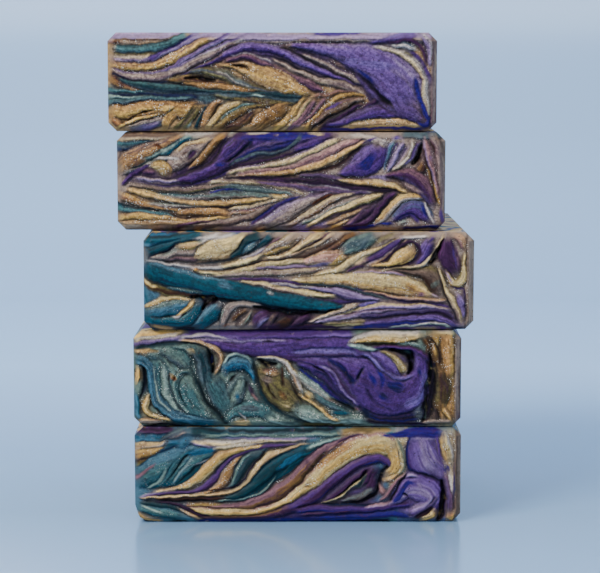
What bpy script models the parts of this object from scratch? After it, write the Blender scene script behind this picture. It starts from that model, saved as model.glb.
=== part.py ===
"""A stack of handmade soap bars, cut from one swirled loaf and laid on their cut faces.

Blender 4.5, metres, +Z up. The textured tops of the bars face -Y, and the origin is under the
middle of the stack. Each bar lies loose on the one below it and lifts straight up.
"""

import math
from dataclasses import dataclass

import bmesh
import bpy
from mathutils import Vector

MM = 0.001

# Driving dimensions, shared by every bar of the loaf.
LOAF_HEIGHT = 62.0 * MM  # from the textured top to the flat bottom of the loaf, along Y
PLANED_EDGE = 2.2 * MM  # leg of the 45 degree bevel that a soap planer leaves on every edge
REST_GAP = 0.3 * MM  # air left between two bars that lie on each other
GRID_STEP = 2.0 * MM  # spacing of the cuts that shape the textured top
FURROW_FADE = 3.0 * MM  # a furrow fades out over this distance before the planed edge
CURVE_STEPS = 24  # straight steps that a furrow's curve is measured with
SHARP_ANGLE = math.radians(35)


@dataclass
class Furrow:
    """A valley stirred into the top: a curve through start and end that leans to middle.

    Points are (along the bar from its left end, up from its lower face), in millimetres.
    """

    start: tuple
    middle: tuple
    end: tuple
    width: float
    depth: float


@dataclass
class Bar:
    """One bar: its size, its place in the stack, its colour and the valleys of its top."""

    name: str
    length: float  # along X, the width of the loaf
    thickness: float  # along Z, the width of one cut
    shift: float  # of the bar's middle along X
    front: float  # where the textured top lies along Y
    turn: float  # about Z, in degrees
    colour: tuple
    furrows: tuple


# From the bottom of the stack to the top. Lengths are in millimetres here.
BARS = (
    Bar("soap_bar_bottom", 86.2, 25.5, -0.7, -32.6, 0.3, (0.20, 0.25, 0.36), (
        Furrow((2, 6), (22, 3), (42, 11), 2.6, 1.8),
        Furrow((52, 5), (60, 8), (66, 16), 2.4, 3.0),
        Furrow((66, 8), (69, 15), (73, 17), 2.2, 2.2),
        Furrow((79, 3), (81, 9), (78, 16), 2.2, 3.2),
    )),
    Bar("soap_bar_lower", 86.1, 25.5, -0.5, -32.4, -0.4, (0.16, 0.20, 0.33), (
        Furrow((16, 17), (18, 8), (25, 3), 2.8, 2.2),
        Furrow((31, 17), (34, 7), (48, 4), 2.8, 2.6),
        Furrow((46, 12), (53, 9), (58, 4), 2.6, 3.0),
        Furrow((66, 20), (77, 20), (73, 12), 2.6, 3.4),
        Furrow((78, 4), (79, 12), (77, 18), 2.4, 3.2),
    )),
    Bar("soap_bar_middle", 86.2, 25.5, 2.1, -33.0, 0.5, (0.26, 0.30, 0.30), (
        Furrow((3, 18), (25, 13), (44, 18), 2.4, 1.6),
        Furrow((8, 10), (24, 6), (56, 5), 2.8, 3.0),
        Furrow((14, 5), (17, 8), (20, 9), 2.2, 3.4),
        Furrow((72, 14), (77, 16), (78, 22), 2.6, 3.8),
        Furrow((79, 16), (82, 10), (83, 2), 2.2, 2.4),
    )),
    Bar("soap_bar_upper", 85.7, 25.5, -4.7, -29.4, -0.4, (0.33, 0.29, 0.34), (
        Furrow((1, 11), (20, 13), (54, 12), 2.4, 1.8),
        Furrow((20, 14), (26, 18), (28, 23), 2.4, 2.0),
        Furrow((50, 13), (58, 15), (64, 21), 2.4, 2.8),
        Furrow((76, 14), (78, 18), (79, 21), 2.6, 3.6),
        Furrow((80, 18), (83, 12), (84, 5), 2.2, 2.4),
    )),
    Bar("soap_bar_top", 85.5, 25.5, -7.3, -29.0, 0.3, (0.38, 0.30, 0.30), (
        Furrow((2, 15), (22, 8), (46, 9), 2.6, 2.4),
        Furrow((20, 14), (24, 14), (28, 13), 2.2, 3.2),
        Furrow((38, 21), (60, 14), (73, 8), 2.4, 2.8),
        Furrow((50, 2), (60, 6), (66, 9), 2.4, 1.8),
        Furrow((79, 14), (83, 10), (84, 4), 2.2, 2.0),
    )),
)


def clear_scene():
    for existing in list(bpy.data.objects):
        bpy.data.objects.remove(existing, do_unlink=True)


def soap_material(name, colour):
    material = bpy.data.materials.new(name)
    material.use_nodes = True
    shader = material.node_tree.nodes["Principled BSDF"]
    shader.inputs["Base Color"].default_value = (*colour, 1.0)
    shader.inputs["Roughness"].default_value = 0.55
    shader.inputs["Metallic"].default_value = 0.0
    return material


def distance_to(furrow, point):
    """Distance in millimetres from a point of the top to a furrow's curve."""
    start, middle, end = (Vector(p) for p in (furrow.start, furrow.middle, furrow.end))
    nearest = math.inf
    for step in range(CURVE_STEPS + 1):
        t = step / CURVE_STEPS
        on_curve = (1 - t) ** 2 * start + 2 * t * (1 - t) * middle + t**2 * end
        nearest = min(nearest, (point - on_curve).length)
    return nearest


def depth_at(bar, along, up):
    """How far the top is sunk below its highest plane at a point, in metres."""
    point = Vector((along, up)) / MM
    valleys = (
        furrow.depth * math.exp(-((distance_to(furrow, point) / furrow.width) ** 2))
        for furrow in bar.furrows
    )
    edge = min(along, up, bar.length * MM - along, bar.thickness * MM - up) - PLANED_EDGE
    return max(valleys) * MM * min(1.0, max(0.0, edge / FURROW_FADE))


def planed_block(length, depth, thickness):
    """A block standing on Z = 0, its middle over the origin, with every edge planed off."""
    mesh = bmesh.new()
    bmesh.ops.create_cube(mesh, size=1.0)
    bmesh.ops.scale(mesh, vec=(length, depth, thickness), verts=mesh.verts)
    bmesh.ops.translate(mesh, vec=(0, 0, thickness / 2), verts=mesh.verts)
    bmesh.ops.bevel(
        mesh,
        geom=list(mesh.edges),
        offset=PLANED_EDGE,
        offset_type="OFFSET",
        segments=1,
        profile=0.5,
        affect="EDGES",
    )
    return mesh


def front_faces(mesh, front):
    return [
        face for face in mesh.faces if abs(face.calc_center_median().y - front) < 1e-6
    ]


def cut_into_grid(mesh, front, length, thickness):
    """Cuts the flat front into small faces, so that it can be shaped."""
    for axis, low, high in (
        (Vector((1, 0, 0)), -length / 2 + PLANED_EDGE, length / 2 - PLANED_EDGE),
        (Vector((0, 0, 1)), PLANED_EDGE, thickness - PLANED_EDGE),
    ):
        count = round((high - low) / GRID_STEP)
        for line in range(1, count):
            faces = front_faces(mesh, front)
            edges = {edge for face in faces for edge in face.edges}
            points = {vertex for face in faces for vertex in face.verts}
            bmesh.ops.bisect_plane(
                mesh,
                geom=[*faces, *edges, *points],
                plane_co=axis * (low + (high - low) * line / count),
                plane_no=axis,
                dist=1e-7,
            )


def sink_furrows(mesh, bar, front, length):
    """Moves the inner points of the front back into the soap, down to the valleys' floors."""
    flat = set(front_faces(mesh, front))
    inner = [vertex for vertex in mesh.verts if flat.issuperset(vertex.link_faces)]
    for vertex in inner:
        vertex.co.y += depth_at(bar, vertex.co.x + length / 2, vertex.co.z)


def make_bar(bar, lift):
    length, thickness = bar.length * MM, bar.thickness * MM
    front = -LOAF_HEIGHT / 2
    mesh = planed_block(length, LOAF_HEIGHT, thickness)
    cut_into_grid(mesh, front, length, thickness)
    bmesh.ops.triangulate(mesh, faces=front_faces(mesh, front))
    sink_furrows(mesh, bar, front, length)
    bmesh.ops.recalc_face_normals(mesh, faces=mesh.faces)

    data = bpy.data.meshes.new(bar.name)
    mesh.to_mesh(data)
    mesh.free()
    data.shade_smooth()
    data.set_sharp_from_angle(angle=SHARP_ANGLE)
    data.materials.append(soap_material(bar.name, bar.colour))

    made = bpy.data.objects.new(bar.name, data)
    bpy.context.scene.collection.objects.link(made)
    made.parent = lift
    made.location = (bar.shift * MM, bar.front * MM + LOAF_HEIGHT / 2, 0)
    made.rotation_euler.z = math.radians(bar.turn)
    return made


def make_lift(name, rise, below):
    """An empty at the level that a bar rests on. It carries the bar and all bars above it."""
    lift = bpy.data.objects.new("lift_" + name, None)
    bpy.context.scene.collection.objects.link(lift)
    lift.parent = below
    lift.location.z = rise
    return lift


def centre_stack(made):
    """Moves the bars sideways, so that the stack's box is centred over the origin."""
    bpy.context.view_layer.update()
    points = [bar.matrix_world @ vertex.co for bar in made for vertex in bar.data.vertices]
    for axis in range(2):
        places = [point[axis] for point in points]
        middle = (min(places) + max(places)) / 2
        for bar in made:
            bar.location[axis] -= middle


def main():
    clear_scene()
    made, lift, rise = [], None, 0.0
    for bar in BARS:
        lift = make_lift(bar.name, rise, lift)
        made.append(make_bar(bar, lift))
        rise = bar.thickness * MM + REST_GAP
    centre_stack(made)


main()
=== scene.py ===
# %% [markdown]
# # A stack of swirled soap bars
#
# Five handmade bars were cut from one loaf of soap and lie on their cut faces, so the textured
# top of the loaf looks at us. Each bar is one piece of soap: there is nothing else to assemble.
# All the work is in that top: several batters were poured and stirred, and they set as folds,
# one lying over the next, with dark creases and a few deep hollows between them.
#
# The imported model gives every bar's size and place. It is kept as it is, and each bar's plain
# solid is replaced by a piece with the real surface.

# %% Load the frame
import math

import bpy
import numpy as np
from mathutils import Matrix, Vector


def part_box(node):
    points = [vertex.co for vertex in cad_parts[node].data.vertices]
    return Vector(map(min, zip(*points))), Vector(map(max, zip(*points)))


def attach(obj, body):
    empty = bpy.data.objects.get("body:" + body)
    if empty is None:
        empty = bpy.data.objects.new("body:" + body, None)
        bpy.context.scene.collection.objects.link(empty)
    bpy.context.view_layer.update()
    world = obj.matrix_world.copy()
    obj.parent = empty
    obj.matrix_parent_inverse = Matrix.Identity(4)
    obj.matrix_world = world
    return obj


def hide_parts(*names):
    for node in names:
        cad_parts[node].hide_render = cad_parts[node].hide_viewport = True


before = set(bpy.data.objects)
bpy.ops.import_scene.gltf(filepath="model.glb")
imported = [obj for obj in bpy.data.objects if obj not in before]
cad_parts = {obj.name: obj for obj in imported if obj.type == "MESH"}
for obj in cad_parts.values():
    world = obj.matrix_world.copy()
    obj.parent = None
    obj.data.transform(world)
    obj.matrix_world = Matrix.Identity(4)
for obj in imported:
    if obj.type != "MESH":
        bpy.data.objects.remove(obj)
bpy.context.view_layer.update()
MM = 0.001

# %% [markdown]
# ## The soap's colours
#
# The batters were white, gold mica, teal and violet. Where two of them met they mixed, so the
# finished soap has a whole family of colours between. Each is a screen colour here, and is
# turned into the linear light that a shader works in.
# One of them, near black, is no batter but painted shade for hollows, creases and gaps.
# Umber serves for painted shade as well as for brown.

# %% Colours of the batter
BATTER = {
    "gold": (197, 156, 80),
    "tan": (176, 140, 92),
    "cream": (206, 180, 120),
    "pale": (188, 178, 168),
    "stone": (148, 128, 112),
    "taupe": (100, 82, 70),
    "bronze": (116, 84, 44),
    # Umber is a brown batter, and it is also used as painted shade in creases, hollows and under leaves.
    "umber": (56, 32, 18),
    "rust": (136, 68, 26),
    "ochre": (164, 122, 70),
    "olive": (98, 90, 50),
    "sage": (100, 118, 106),
    "mint": (140, 160, 146),
    "sea": (62, 98, 98),
    "steel": (68, 104, 120),
    "blue": (28, 80, 106),
    "teal": (16, 66, 80),
    "pine": (10, 42, 48),
    "navy": (15, 22, 60),
    "slate": (70, 82, 86),
    "periwinkle": (108, 88, 147),
    "lavender": (102, 74, 134),
    "lilac": (138, 116, 152),
    "violet": (71, 41, 102),
    "plum": (58, 26, 60),
    "dusk": (72, 54, 90),
    "mauve": (116, 82, 90),
    "rose": (166, 122, 114),
    "indigo": (26, 10, 100),
    # The next colour is no batter: it is near-black painted shade, laid in hollows, creases and gaps.
    "ink": (9, 4, 16),
}
# How much gold mica or glitter each light batter holds, from 0 to 1.
MICA = {"gold": 1.0, "ochre": 1.0, "cream": 0.6, "tan": 0.7, "bronze": 0.6, "sage": 0.5, "stone": 0.5,
        "sea": 0.4, "pale": 0.3, "steel": 0.3, "mint": 0.4, "teal": 0.15, "blue": 0.1, "violet": 0.1,
        "lavender": 0.1, "lilac": 0.2}


def linear(screen):
    """A screen colour, 0 to 255 a channel, as linear light."""
    share = np.asarray(screen, dtype=float) / 255
    return np.where(share <= 0.04045, share / 12.92, ((share + 0.055) / 1.055) ** 2.4)


BATTER_LIGHT = {name: linear(screen) for name, screen in BATTER.items()}
print(len(BATTER), "colours of batter")

# %% [markdown]
# ## A fold of soap
#
# A fold is a long leaf of one batter. It is described the way a soap maker would point it out:
# a run of places along its middle, each with the leaf's half width there, and the colours that
# cross it from its upper side to its lower side. The places are in the bar's own millimetres,
# along the bar from its left end and up from its lower face.
#
# Modelling each fold as its own mesh would leave hundreds of thin sheets that have to meet
# without gaps. A top is one skin, so here the folds are laid in order on a fine map of the top,
# each covering what lies under it. The map keeps the height, the colour, the mica and the
# direction of flow of the fold that ended on top. It is read back when the skin is shaped.

# %% Describe a fold
CURVE_STEP = 0.45  # straight steps that a fold's middle line is laid in, in mm
FOLD_SPREAD = 1.1  # folds lie this much wider than their places say, so that they overlap
SHADE_SPREAD = 0.8  # and folds of painted shade alone, unless they are hollows, this much narrower
LEAST_WIDTH = 0.1  # half the width of a fold where it runs out, in mm


class Fold:
    """A leaf of batter: its colours from the upper side down, and (along, up, half width) places."""

    def __init__(self, colours, *places, rise=None, sink=0.0, flat=False):
        self.colours = colours.split()
        self.places = np.array(places, dtype=float)
        self.places[:, 2] *= SHADE_SPREAD if self.colours == ["ink"] and not sink else FOLD_SPREAD
        widest = self.places[:, 2].max()
        self.rise = min(0.95, 0.25 + 0.32 * widest) if rise is None else rise
        self.sink = sink  # a hollow goes this much deeper in its middle
        self.flat = flat  # a stain colours the soap and doesn't change its height

    def line(self):
        """The middle line as a smooth curve through the places, in short steps."""
        spots = np.vstack([2 * self.places[0] - self.places[1], self.places,
                           2 * self.places[-1] - self.places[-2]])
        laid = []
        for before, start, end, after in zip(spots, spots[1:], spots[2:], spots[3:]):
            count = max(2, int(np.hypot(*(end - start)[:2]) / CURVE_STEP))
            for t in np.arange(count) / count:
                laid.append(0.5 * (2 * start + (end - before) * t
                                   + (2 * before - 5 * start + 4 * end - after) * t**2
                                   + (3 * start - before - 3 * end + after) * t**3))
        laid.append(spots[-2])
        line = np.array(laid)
        line[:, 2] = np.maximum(line[:, 2], LEAST_WIDTH)
        return line


def stain(colours, *places):
    """A fold that colours the soap and doesn't change its height."""
    return Fold(colours, *places, flat=True)


def groove(colours, *places):
    """A crease: a fold that lies as low as the edges of its neighbours."""
    return Fold(colours, *places, rise=0.0)


# %% [markdown]
# Stirred soap is never quite even: a fold's edge wanders, and fine threads of other colours run
# along it. Both come from a lattice noise, a smooth random field that is the same every time.

# %% Smooth random field
def lattice_noise(x, y, seed):
    """Smooth noise from 0 to 1, with one bump a unit."""
    column, row = np.floor(x).astype(np.int64), np.floor(y).astype(np.int64)
    blend_x, blend_y = x - column, y - row
    blend_x = blend_x**2 * (3 - 2 * blend_x)
    blend_y = blend_y**2 * (3 - 2 * blend_y)

    def corner(i, j):
        number = (i * 374761393 + j * 668265263 + seed * 974711) & 0xFFFFFFFF
        number = ((number ^ (number >> 13)) * 1274126177) & 0xFFFFFFFF
        return ((number ^ (number >> 16)) & 0xFFFF) / 0xFFFF

    lower = corner(column, row) * (1 - blend_x) + corner(column + 1, row) * blend_x
    upper = corner(column, row + 1) * (1 - blend_x) + corner(column + 1, row + 1) * blend_x
    return lower * (1 - blend_y) + upper * blend_y


def ease(value):
    """0 below 0, 1 above 1, and a smooth step between."""
    value = np.clip(value, 0.0, 1.0)
    return value * value * (3 - 2 * value)


# %% [markdown]
# ## Laying the folds
#
# For every point of the map, the nearest part of the fold's middle line gives how far across
# the leaf the point lies, from -1 to 1, and how far along. The leaf is rounded across, and tips
# a little, so that it is proud at its lower side and tucks under its neighbour at its upper
# side, as poured folds do. Its colour runs through its batters, pulled about by fine threads and
# crossed by thin veins. Painted shade darkens it towards its edge, and a painted shadow darkens
# what lies just beside it, more below the fold than above it.

# %% Mix and soften a map
def blend(under, over, share):
    """Colours mixed point by point."""
    share = share[..., None]
    return under * (1 - share) + over * share


def softened(field, times):
    """A map with every point averaged with its neighbours, a number of times."""
    for _ in range(times):
        field = (np.roll(field, 1, 0) + np.roll(field, -1, 0) + 2 * field) / 4
        field = (np.roll(field, 1, 1) + np.roll(field, -1, 1) + 2 * field) / 4
    return field


# %% Map of one top
MAP_STEP = 0.2  # spacing of the map, in mm
MAP_MARGIN = 1.0  # the map reaches this far past the bar, in mm
LIE = -1.15  # how far below the highest plane a fold's edges lie, in mm
SOFT_EDGE = 0.30  # a fold's edge blends into what lies under it over this distance, in mm
HOLLOW_EDGE = 0.8  # and the edge of a hollow over this one
REACH = 0.6  # how far beside a fold its crease is felt, in mm
WANDER = ((2.2, 0.5), (0.7, 0.22))  # a fold's edge wanders: the length and size of its waves, in mm
CREASE_SHADE = 0.28  # painted shade: a crease is painted this share as light as its batter
RIM = 0.18  # how far the painted crease shade reaches into a fold, in mm
BESIDE = 0.28  # and how far a painted shadow reaches out over what lies under the fold
NO_FOLD = 9.0  # how far across a fold a point counts as lying where no fold is near
GAP_REACH = 30  # rounds of softening that carry colour into a gap between folds
GAP_SHADE = 0.45  # how far a gap takes the painted crease shade


class TopMap:
    """The height, colour, mica and flow of one bar's top, on a fine grid in the bar's own mm."""

    def __init__(self, length, thickness, ground, crease, depth, seed):
        self.seed = seed
        self.crease = BATTER_LIGHT[crease] * CREASE_SHADE
        self.depth = depth
        self.columns = np.arange(-MAP_MARGIN, length + MAP_MARGIN, MAP_STEP)
        self.rows = np.arange(-MAP_MARGIN, thickness + MAP_MARGIN, MAP_STEP)
        along, up = np.meshgrid(self.columns, self.rows)
        self.height = LIE + 0.2 * lattice_noise(along / 5, up / 5, seed)
        self.colour = np.ones((*along.shape, 3)) * BATTER_LIGHT[ground]
        self.mica = np.full(along.shape, MICA.get(ground, 0.0))
        self.flow = np.stack([along, up, np.zeros_like(along)], axis=-1)
        self.laid = np.zeros_like(along)
        self.along, self.up = along, up
        for turn, (wave, size) in enumerate(WANDER):
            drift = [lattice_noise(along / wave, up / wave, seed + 2 * turn + side) for side in (1, 2)]
            self.along = self.along + size * (drift[0] - 0.5)
            self.up = self.up + size * (drift[1] - 0.5)

    def across(self, line):
        """How far each point is across a leaf, along it, its width there and which way is up."""
        share = np.full(self.along.shape, NO_FOLD)
        run = np.zeros_like(share)
        width = np.ones_like(share)
        lean = np.zeros_like(share)
        done = 0.0
        for start, end in zip(line, line[1:]):
            reach = max(start[2], end[2]) + MAP_STEP + REACH
            near, far = np.minimum(start, end) - reach, np.maximum(start, end) + reach
            first, last = np.searchsorted(self.columns, [near[0], far[0]])
            low, high = np.searchsorted(self.rows, [near[1], far[1]])
            step = end[:2] - start[:2]
            size = max(1e-6, float(np.hypot(*step)))
            step = step / size
            window = (slice(low, high), slice(first, last))
            off_x, off_y = self.along[window] - start[0], self.up[window] - start[1]
            forward = np.clip((off_x * step[0] + off_y * step[1]) / size, 0.0, 1.0)
            half = start[2] + (end[2] - start[2]) * forward
            apart = np.hypot(off_x - step[0] * size * forward, off_y - step[1] * size * forward)
            side = np.where(off_y * step[0] - off_x * step[1] >= 0, 1.0, -1.0)
            nearer = apart / half < np.abs(share[window])
            share[window] = np.where(nearer, side * apart / half, share[window])
            run[window] = np.where(nearer, done + forward * size, run[window])
            width[window] = np.where(nearer, half, width[window])
            lean[window] = np.where(nearer, step[0], lean[window])
            done += size
        return share, run, width, lean

    def leaf_colour(self, fold, number, share, run, width, threads):
        """A leaf's colour all over: its batters, its threads and its veins. Also gives the veins."""
        seed = self.seed + 10 * number
        broad = lattice_noise(run / 11, share * 1.6 + 20, seed + 3)
        spots = np.array([BATTER_LIGHT[name] for name in fold.colours])
        place = (1 - share) / 2 + 0.40 * (threads - 0.5) + 0.3 * (broad - 0.5)
        place = np.clip(place, 0, 1) * (len(spots) - 1)
        under = np.clip(np.floor(place).astype(int), 0, max(0, len(spots) - 2))
        above = np.minimum(under + 1, len(spots) - 1)
        colour = blend(spots[under], spots[above], ease(place - under))
        contrast = 0.56 - 0.34 * ease((width - 1.5) / 2.5)
        colour = colour * (1 + contrast * (threads - 0.5))[..., None]

        vein = lattice_noise(run / 10, share * width * 1.5 + 80, seed + 6) - 0.5
        vein = 0.55 * np.exp(-((vein / 0.05) ** 2))
        thin = lattice_noise(run / 6, share * width * 2.6 + 120, seed + 7) - 0.5
        vein = np.maximum(vein, 0.4 * np.exp(-((thin / 0.07) ** 2))) * ease((width - 0.3) / 0.5)
        red, green, blue = spots.mean(axis=0)
        tint = "pine" if green > red else "umber" if number % 3 == 0 and green > blue else "plum"
        return blend(colour, BATTER_LIGHT[tint], vein), vein

    def lay(self, fold, number):
        """Lays one fold over what is on the map already."""
        share, run, width, lean = self.across(fold.line())
        seed = self.seed + 10 * number
        inside = (1 - np.abs(share)) * width
        threads = lattice_noise(run / 7, share * width * 2.6 + 40, seed)
        fray = lattice_noise(run / 2.5, share * width * 2.2 + 60, seed + 4) - 0.5
        tip = 0.3 + 0.7 * ease(np.minimum(run, run.max() - run) / (0.8 + 0.8 * width))
        edge = HOLLOW_EDGE if fold.sink else SOFT_EDGE
        cover = ease(inside / edge + 0.15 + 0.7 * fray) * (1 if fold.sink else tip) * (inside > -0.2)
        colour, vein = self.leaf_colour(fold, number, share, run, width, threads)
        if not fold.flat:
            # Painted shade: the fold's edge is darkened towards the crease colour, and beside the fold a
            # painted shadow darkens what lies under it, more on its lower side, where the soap also dips a
            # little.
            rim = 0.55 * self.depth * np.exp(-((np.maximum(inside, 0) / RIM) ** 2))
            colour = blend(colour, self.crease, rim * ease((width - 0.2) / 0.5))
            rounded = np.clip(1 - share**2, 0, 1)
            height = LIE + fold.rise * rounded**0.7 - 0.22 * share * lean * np.minimum(1, width)
            height = height - fold.sink * rounded + 0.10 * (threads - 0.5) - 0.12 * vein
            shadow_and_dip_beside = np.exp(-((np.maximum(-inside, 0) / BESIDE) ** 2)) * np.minimum(1, width / 0.5)
            shadow_and_dip_beside = shadow_and_dip_beside * np.where(share * lean < 0, 0.65, 0.25) * tip * self.depth
            self.colour = blend(self.colour, self.crease, shadow_and_dip_beside)
            self.height = self.height - 0.3 * shadow_and_dip_beside
            self.height = self.height * (1 - cover) + height * cover
            self.laid = self.laid * (1 - cover) + cover
        self.colour = blend(self.colour, colour, cover)
        mica = np.mean([MICA.get(name, 0.0) for name in fold.colours])
        self.mica = self.mica * (1 - cover) + mica * cover
        flow = [run + 31 * number, share * np.minimum(width, 1.4), np.full_like(run, number)]
        self.flow = np.where((cover > 0.5)[..., None], np.stack(flow, axis=-1), self.flow)

    def fill_gaps(self):
        """Gives the narrow gaps between folds the colour of their neighbours, in shade."""
        around = softened(self.laid, GAP_REACH)
        neighbours = softened(self.colour * self.laid[..., None], GAP_REACH)
        neighbours = neighbours / np.maximum(around, 0.05)[..., None]
        narrow = ease((around - 0.25) / 0.4) * (1 - self.laid)
        shade = GAP_SHADE * self.depth
        self.colour = blend(self.colour, (1 - shade) * neighbours + shade * self.crease, narrow)


# %% [markdown]
# ## The top bar
#
# Its left half is a pile of thin flows that sweep up to the right. A smooth gold wedge fills the
# middle, and a large lobe of violet batter rolls over the right end, with a fan of thin leaves
# tucked under it. Folds are listed from the deepest to the last one poured.

# %% Folds of the top bar: the deepest
TOP_FOLDS = [
    stain("teal sea slate", (-1, 9, 3), (22, 10, 3), (50, 9, 1.5)),
    stain("violet dusk", (32, 19, 2), (46, 18, 3), (60, 16, 4)),
    stain("violet lavender dusk", (62, 22, 3), (74, 14, 8), (80, 4, 5)),
    Fold("stone lilac stone", (-1, 24.7, 1.8), (30, 24.9, 1.6), (55, 24.8, 1.5), (87, 24.6, 1.7)),
    Fold("tan rust", (1, 23.2, 0.6), (8, 23.4, 0.4), (14, 23.9, 0.3)),
    Fold("stone tan", (3, 22.6, 0.7), (11, 23, 0.6), (17, 24.2, 0.5), (22, 25.2, 0.5)),
    Fold("pine sea slate", (1, 21.4, 1), (6, 21.2, 1.2), (11, 21.4, 1.2), (15, 22.4, 1.2), (18, 23.6, 1),
        (21, 25.2, 0.8)),
    Fold("olive stone", (1, 19.9, 0.8), (8, 19.7, 0.7), (13, 20.1, 0.5), (17, 21.3, 0.3)),
    Fold("cream lilac tan", (1, 18.7, 1), (6, 18.6, 1.1), (10, 18.9, 1), (12, 19.6, 0.4)),
    Fold("indigo violet lilac", (10.4, 18.1, 0.4), (12, 19.1, 0.8), (15, 20.5, 0.7), (19, 22.3, 0.8),
        (23, 24.8, 0.8)),
    Fold("mauve gold gold", (1, 17.4, 0.9), (6, 16.8, 1.1), (11, 17, 1.1), (15, 18.1, 1.1), (19, 20.2, 1.1),
        (23, 22.6, 1), (27, 24, 0.8)),
    Fold("lilac", (13, 19.4, 0.3), (17, 21, 0.5), (21, 23.1, 0.5), (25, 25, 0.4)),
    Fold("violet lilac", (1.5, 16.5, 0.25), (5, 15.3, 0.25), (9, 15.1, 0.3), (13, 15.4, 0.35),
        (16, 16.4, 0.5), (19, 18.3, 0.7), (23, 20.4, 0.7), (28, 23, 0.7), (32, 25.5, 0.7)),
    Fold("lilac stone stone mauve", (1, 16, 0.4), (4, 14.8, 0.8), (9, 14.1, 1), (13, 14.2, 1), (17, 15.4, 1),
        (21, 17.3, 1.1), (26, 19.8, 1.1), (30, 22, 1), (35, 23.8, 0.8)),
    Fold("pale", (21, 18.2, 0.2), (27, 20.9, 0.35), (31, 22.6, 0.4), (36, 24, 0.5), rise=0.7),
    Fold("violet lilac", (17, 16.4, 0.2), (23, 19.2, 0.2), (28, 21.6, 0.25), (33, 23.8, 0.4), (36, 25, 0.4)),
    Fold("navy", (0.6, 15.1, 0.25), (4, 13.9, 0.35), (8, 12.9, 0.35), (13, 12.7, 0.35), (17, 13.7, 0.3),
        (21, 15.4, 0.35), rise=0.1),
    Fold("indigo plum", (18, 14.2, 0.3), (24, 16.5, 0.45), (29, 18.8, 0.55), (33, 20.3, 0.7), (38, 21, 0.8)),
    Fold("lilac stone umber", (31, 22.6, 0.35), (38, 23.2, 0.4), (45, 23.2, 0.45), (52, 23.5, 0.45),
        (62, 23.6, 0.4), (72, 23, 0.4)),
    stain("lilac", (34, 24.4, 0.6), (45, 24.3, 0.6), (54, 24.6, 0.5)),
    stain("indigo violet", (53, 25.3, 0.5), (60, 25.1, 0.5), (66, 25.4, 0.3)),
    Fold("lilac lavender violet", (29, 19.4, 0.4), (33, 21, 0.9), (37, 21.8, 1.1), (42, 21.5, 1.1),
        (47, 19.9, 1.2), (51, 17.9, 1.1), (55, 16, 0.9), (60, 14, 0.8), (66, 12, 0.4)),
    Fold("pale lilac", (32, 19.7, 0.2), (36, 20, 0.3), (40, 18.9, 0.3), (43, 17.4, 0.3), rise=0.6),
    Fold("ink", (38, 19.7, 0.3), (43, 19.2, 0.5), (47, 17.8, 0.6), (50, 16, 0.6), (54, 14.6, 0.4),
        (60, 13.3, 0.4), rise=0.1),
    Fold("taupe stone olive", (42.5, 18.8, 0.3), (45, 17.5, 0.5), (48, 16.2, 0.5), (51, 14.9, 0.5),
        (55, 13.2, 0.8), (60, 12.3, 1.1), (64, 11.1, 0.9), (67, 9.3, 0.4)),
    Fold("mauve plum", (30, 18.3, 0.5), (34, 19.2, 0.6), (37, 19.1, 0.8), (40, 17.8, 0.8), (43, 16.2, 0.8),
        (46, 15, 0.8), (49, 13.6, 0.9), (52, 12.4, 1.3), (54, 11.2, 0.9), (56.5, 10.2, 0.2)),
    groove("ink", (44, 21.9, 0.3), (48, 20.7, 0.5), (53, 17.9, 0.5), (58, 15.4, 0.4), (63, 13.2, 0.4),
        (67, 11.2, 0.3)),
    Fold("dusk stone stone", (50, 20.2, 0.2), (54, 18.7, 0.6), (58, 16.9, 0.8), (62, 14.9, 0.8),
        (66, 13, 0.8), (68.4, 11.6, 0.3)),
    Fold("tan gold tan", (29.5, 17.3, 0.3), (33, 17, 0.9), (36, 16.2, 1.6), (40, 14.6, 2.4), (44, 13.2, 2.7),
        (48, 11.5, 2), (51, 10.4, 1.1), (52.6, 9.7, 0.4)),
    Fold("umber", (31.8, 17.2, 0.3), (33.2, 17, 0.5), (35.6, 16.6, 0.4), (37, 16.2, 0.2), sink=1),
    stain("rust", (41.4, 14.4, 0.2), (42, 14.4, 0.3)),
]

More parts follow.
